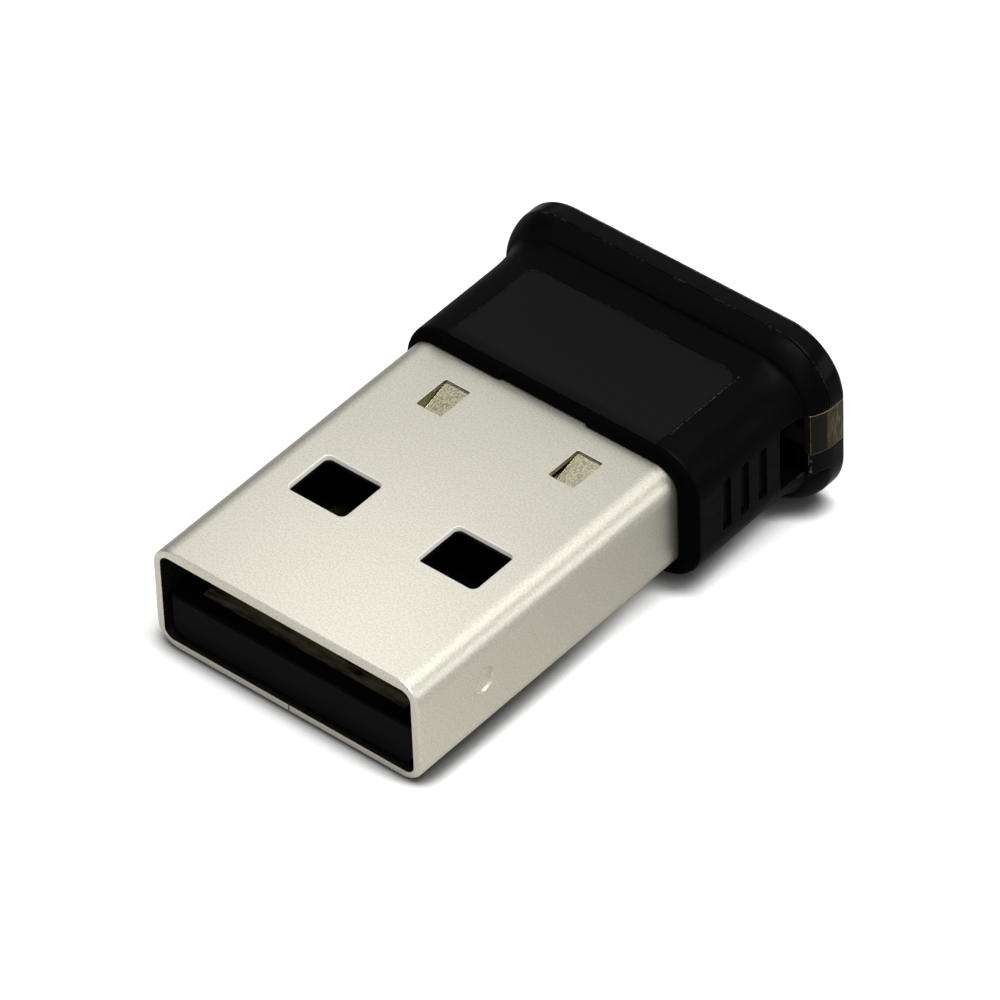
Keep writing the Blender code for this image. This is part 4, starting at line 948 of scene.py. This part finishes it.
# Where a part's metal starts, as an axis and a share of the half size, then its colour and roughness
BOARD_LOOKS = {
    "radio_chip": ("Z", 2.0, CHIP, 0.5),
    "memory_chip": ("X", 0.8, CHIP, 0.5),
    "voltage_regulator": ("X", 0.72, CHIP, 0.45),
    "crystal": ("Z", 0.1, (0.5, 0.47, 0.4), 0.4),
    "chip_antenna": ("X", 0.8, (0.62, 0.6, 0.54), 0.5),
    "status_led": ("X", 0.6, (0.55, 0.53, 0.4), 0.3),
    "band_filter": ("X", 0.6, (0.5, 0.42, 0.3), 0.5),
    "power_inductor": ("X", 0.6, (0.05, 0.05, 0.055), 0.6),
}
for name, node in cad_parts.items():
    if name in ("plug_shell", "housing", "end_cap", "light_guide"):
        continue
    if name == "contact_carrier":
        material = carrier_paint("carrier plastic", (0.002, 0.002, 0.0021), (0.12, 0.098, 0.06))
    elif name.startswith("contact_"):
        material = contact_paint.material
    elif name == "circuit_board":
        material = board_paint("board", (0.006, 0.025, 0.012), (0.012, 0.05, 0.02))
    elif name in BOARD_LOOKS:
        axis, share, body, roughness = BOARD_LOOKS[name]
        both_ends = name != "crystal"
        material = board_part_paint(
            f"{name} paint", node, axis, share, body, TIN, roughness, both_ends
        )
    elif name.startswith("capacitor"):
        material = board_part_paint(f"{name} paint", node, "X", 0.5, (0.42, 0.28, 0.15), TIN, 0.45)
    else:
        material = board_part_paint(f"{name} paint", node, "X", 0.6, CHIP, TIN, 0.4)
    node.data.materials.clear()
    node.data.materials.append(material)

# The floor touches the flange's underside and the lower edge of the plug's mouth
MOUTH_TOUCH = 0.1 * MM
FLOOR_GAP = 0.02 * MM
FLOOR_HALF_SIZE = 1.5
TILT = math.atan2((FLANGE_HEIGHT - SHELL_HEIGHT) / 2, FLARE_END - MOUTH_TOUCH)
# The camera sees white paper with a painted shadow that darkens it in the crevice under the part. The
# metal mirrors a greyer paper, which is painted darker beside the plug's rear than beside its mouth, as
# shade.
PAPER = (1.0, 1.0, 1.0)
PAINTED_SHADOW = (0.12, 0.12, 0.12)
PAINTED_SHADOW_REACH = 1.0 * MM
MIRRORED_FRONT = (0.6, 0.591, 0.572)
MIRRORED_REAR = (0.362, 0.357, 0.344)
MIRRORED_RUN = (-25 * MM, -5 * MM)
floor_mesh = bpy.data.meshes.new("floor")
bm = bmesh.new()
bmesh.ops.create_grid(bm, x_segments=1, y_segments=1, size=FLOOR_HALF_SIZE)
bm.to_mesh(floor_mesh)
bm.free()
floor = bpy.data.objects.new("floor", floor_mesh)
bpy.context.scene.collection.objects.link(floor)
floor.location = (0, FLARE_END - TOTAL_LENGTH / 2, -FLOOR_GAP)
floor.rotation_euler = (-TILT, 0, 0)
paper = Paint("floor paper", PAPER, 0.9, 0.0, 0.0)
seen = paper.tree.nodes.new("ShaderNodeLightPath")
# Painted shadow: camera rays see the paper darken towards the shadow colour near the part
openness = paper.spread(paper.crevice(PAINTED_SHADOW_REACH), 0.0, 1.0, 0.46, 0.87)
open_floor = paper.blend(openness, PAINTED_SHADOW, PAPER)
# Painted shade: the paper that the metal mirrors darkens towards the plug's rear
rearward = paper.spread(paper.place("Y"), 0.0, 1.0, *MIRRORED_RUN)
mirrored = paper.blend(rearward, MIRRORED_FRONT, MIRRORED_REAR)
tone = paper.blend(seen.outputs["Is Camera Ray"], mirrored, open_floor)
paper.use(Base_Color=tone)
floor_mesh.materials.append(paper.material)

world = bpy.data.worlds.new("studio")
bpy.context.scene.world = world
world.use_nodes = True
background = world.node_tree.nodes["Background"]
background.inputs["Color"].default_value = (1, 1, 1, 1)
background.inputs["Strength"].default_value = 0.16


def soft_light(name, place, size, power, target=(0, 0, 0.004)):
    """A rectangular lamp that faces a target. Lengths are in metres and the power is in watts."""
    light = bpy.data.lights.new(name, "AREA")
    light.shape = "RECTANGLE"
    light.size, light.size_y = size
    light.energy = power
    item = bpy.data.objects.new(name, light)
    bpy.context.scene.collection.objects.link(item)
    item.location = place
    item.visible_camera = False
    item.rotation_mode = "QUATERNION"
    item.rotation_quaternion = (Vector(place) - Vector(target)).to_track_quat("Z", "Y")


soft_light("overhead", (0.11, 0.036, 0.485), (0.10, 0.38), 2.2)
soft_light("back left wall", (-0.245, 0.276, 0.336), (0.45, 0.45), 0.32)
soft_light("front left wall", (-0.245, -0.336, 0.276), (0.4, 0.4), 0.42)
soft_light("right rim", (0.36, 0.27, 0.14), (0.42, 0.2), 0.46)
soft_light("front right fill", (0.28, -0.26, 0.30), (0.4, 0.4), 1.0)
soft_light("back top", (0.07, 0.277, 0.41), (0.3, 0.3), 0.14)
soft_light("low back", (-0.245, 0.428, 0.08), (0.2, 0.15), 0.2)
soft_light("near front", (-0.0097, 0.0027, 0.0275), (0.012, 0.012), 0.00055, (0.006, -0.015, 0.006))

# The camera that was solved from the photo's edges
AZIMUTH = math.radians(41.629)
ELEVATION = math.radians(42.319)
ROLL = math.radians(2.385)
CAMERA_PLACE = (0.14903394, -0.16725811, 0.20775333)
camera_data = bpy.data.cameras.new("camera")
camera_data.sensor_width = 36.0
camera_data.lens = 313.99
camera_data.clip_start = 0.01
camera_data.clip_end = 10.0
camera = bpy.data.objects.new("camera", camera_data)
bpy.context.scene.collection.objects.link(camera)
back = Vector((
    math.sin(AZIMUTH) * math.cos(ELEVATION),
    -math.cos(AZIMUTH) * math.cos(ELEVATION),
    math.sin(ELEVATION),
))
camera.rotation_mode = "QUATERNION"
turn = Matrix.Rotation(-ROLL, 4, "Z").to_quaternion()
camera.rotation_quaternion = back.to_track_quat("Z", "Y") @ turn
camera.location = CAMERA_PLACE
bpy.context.scene.camera = camera

bpy.context.scene.view_settings.view_transform = "Standard"
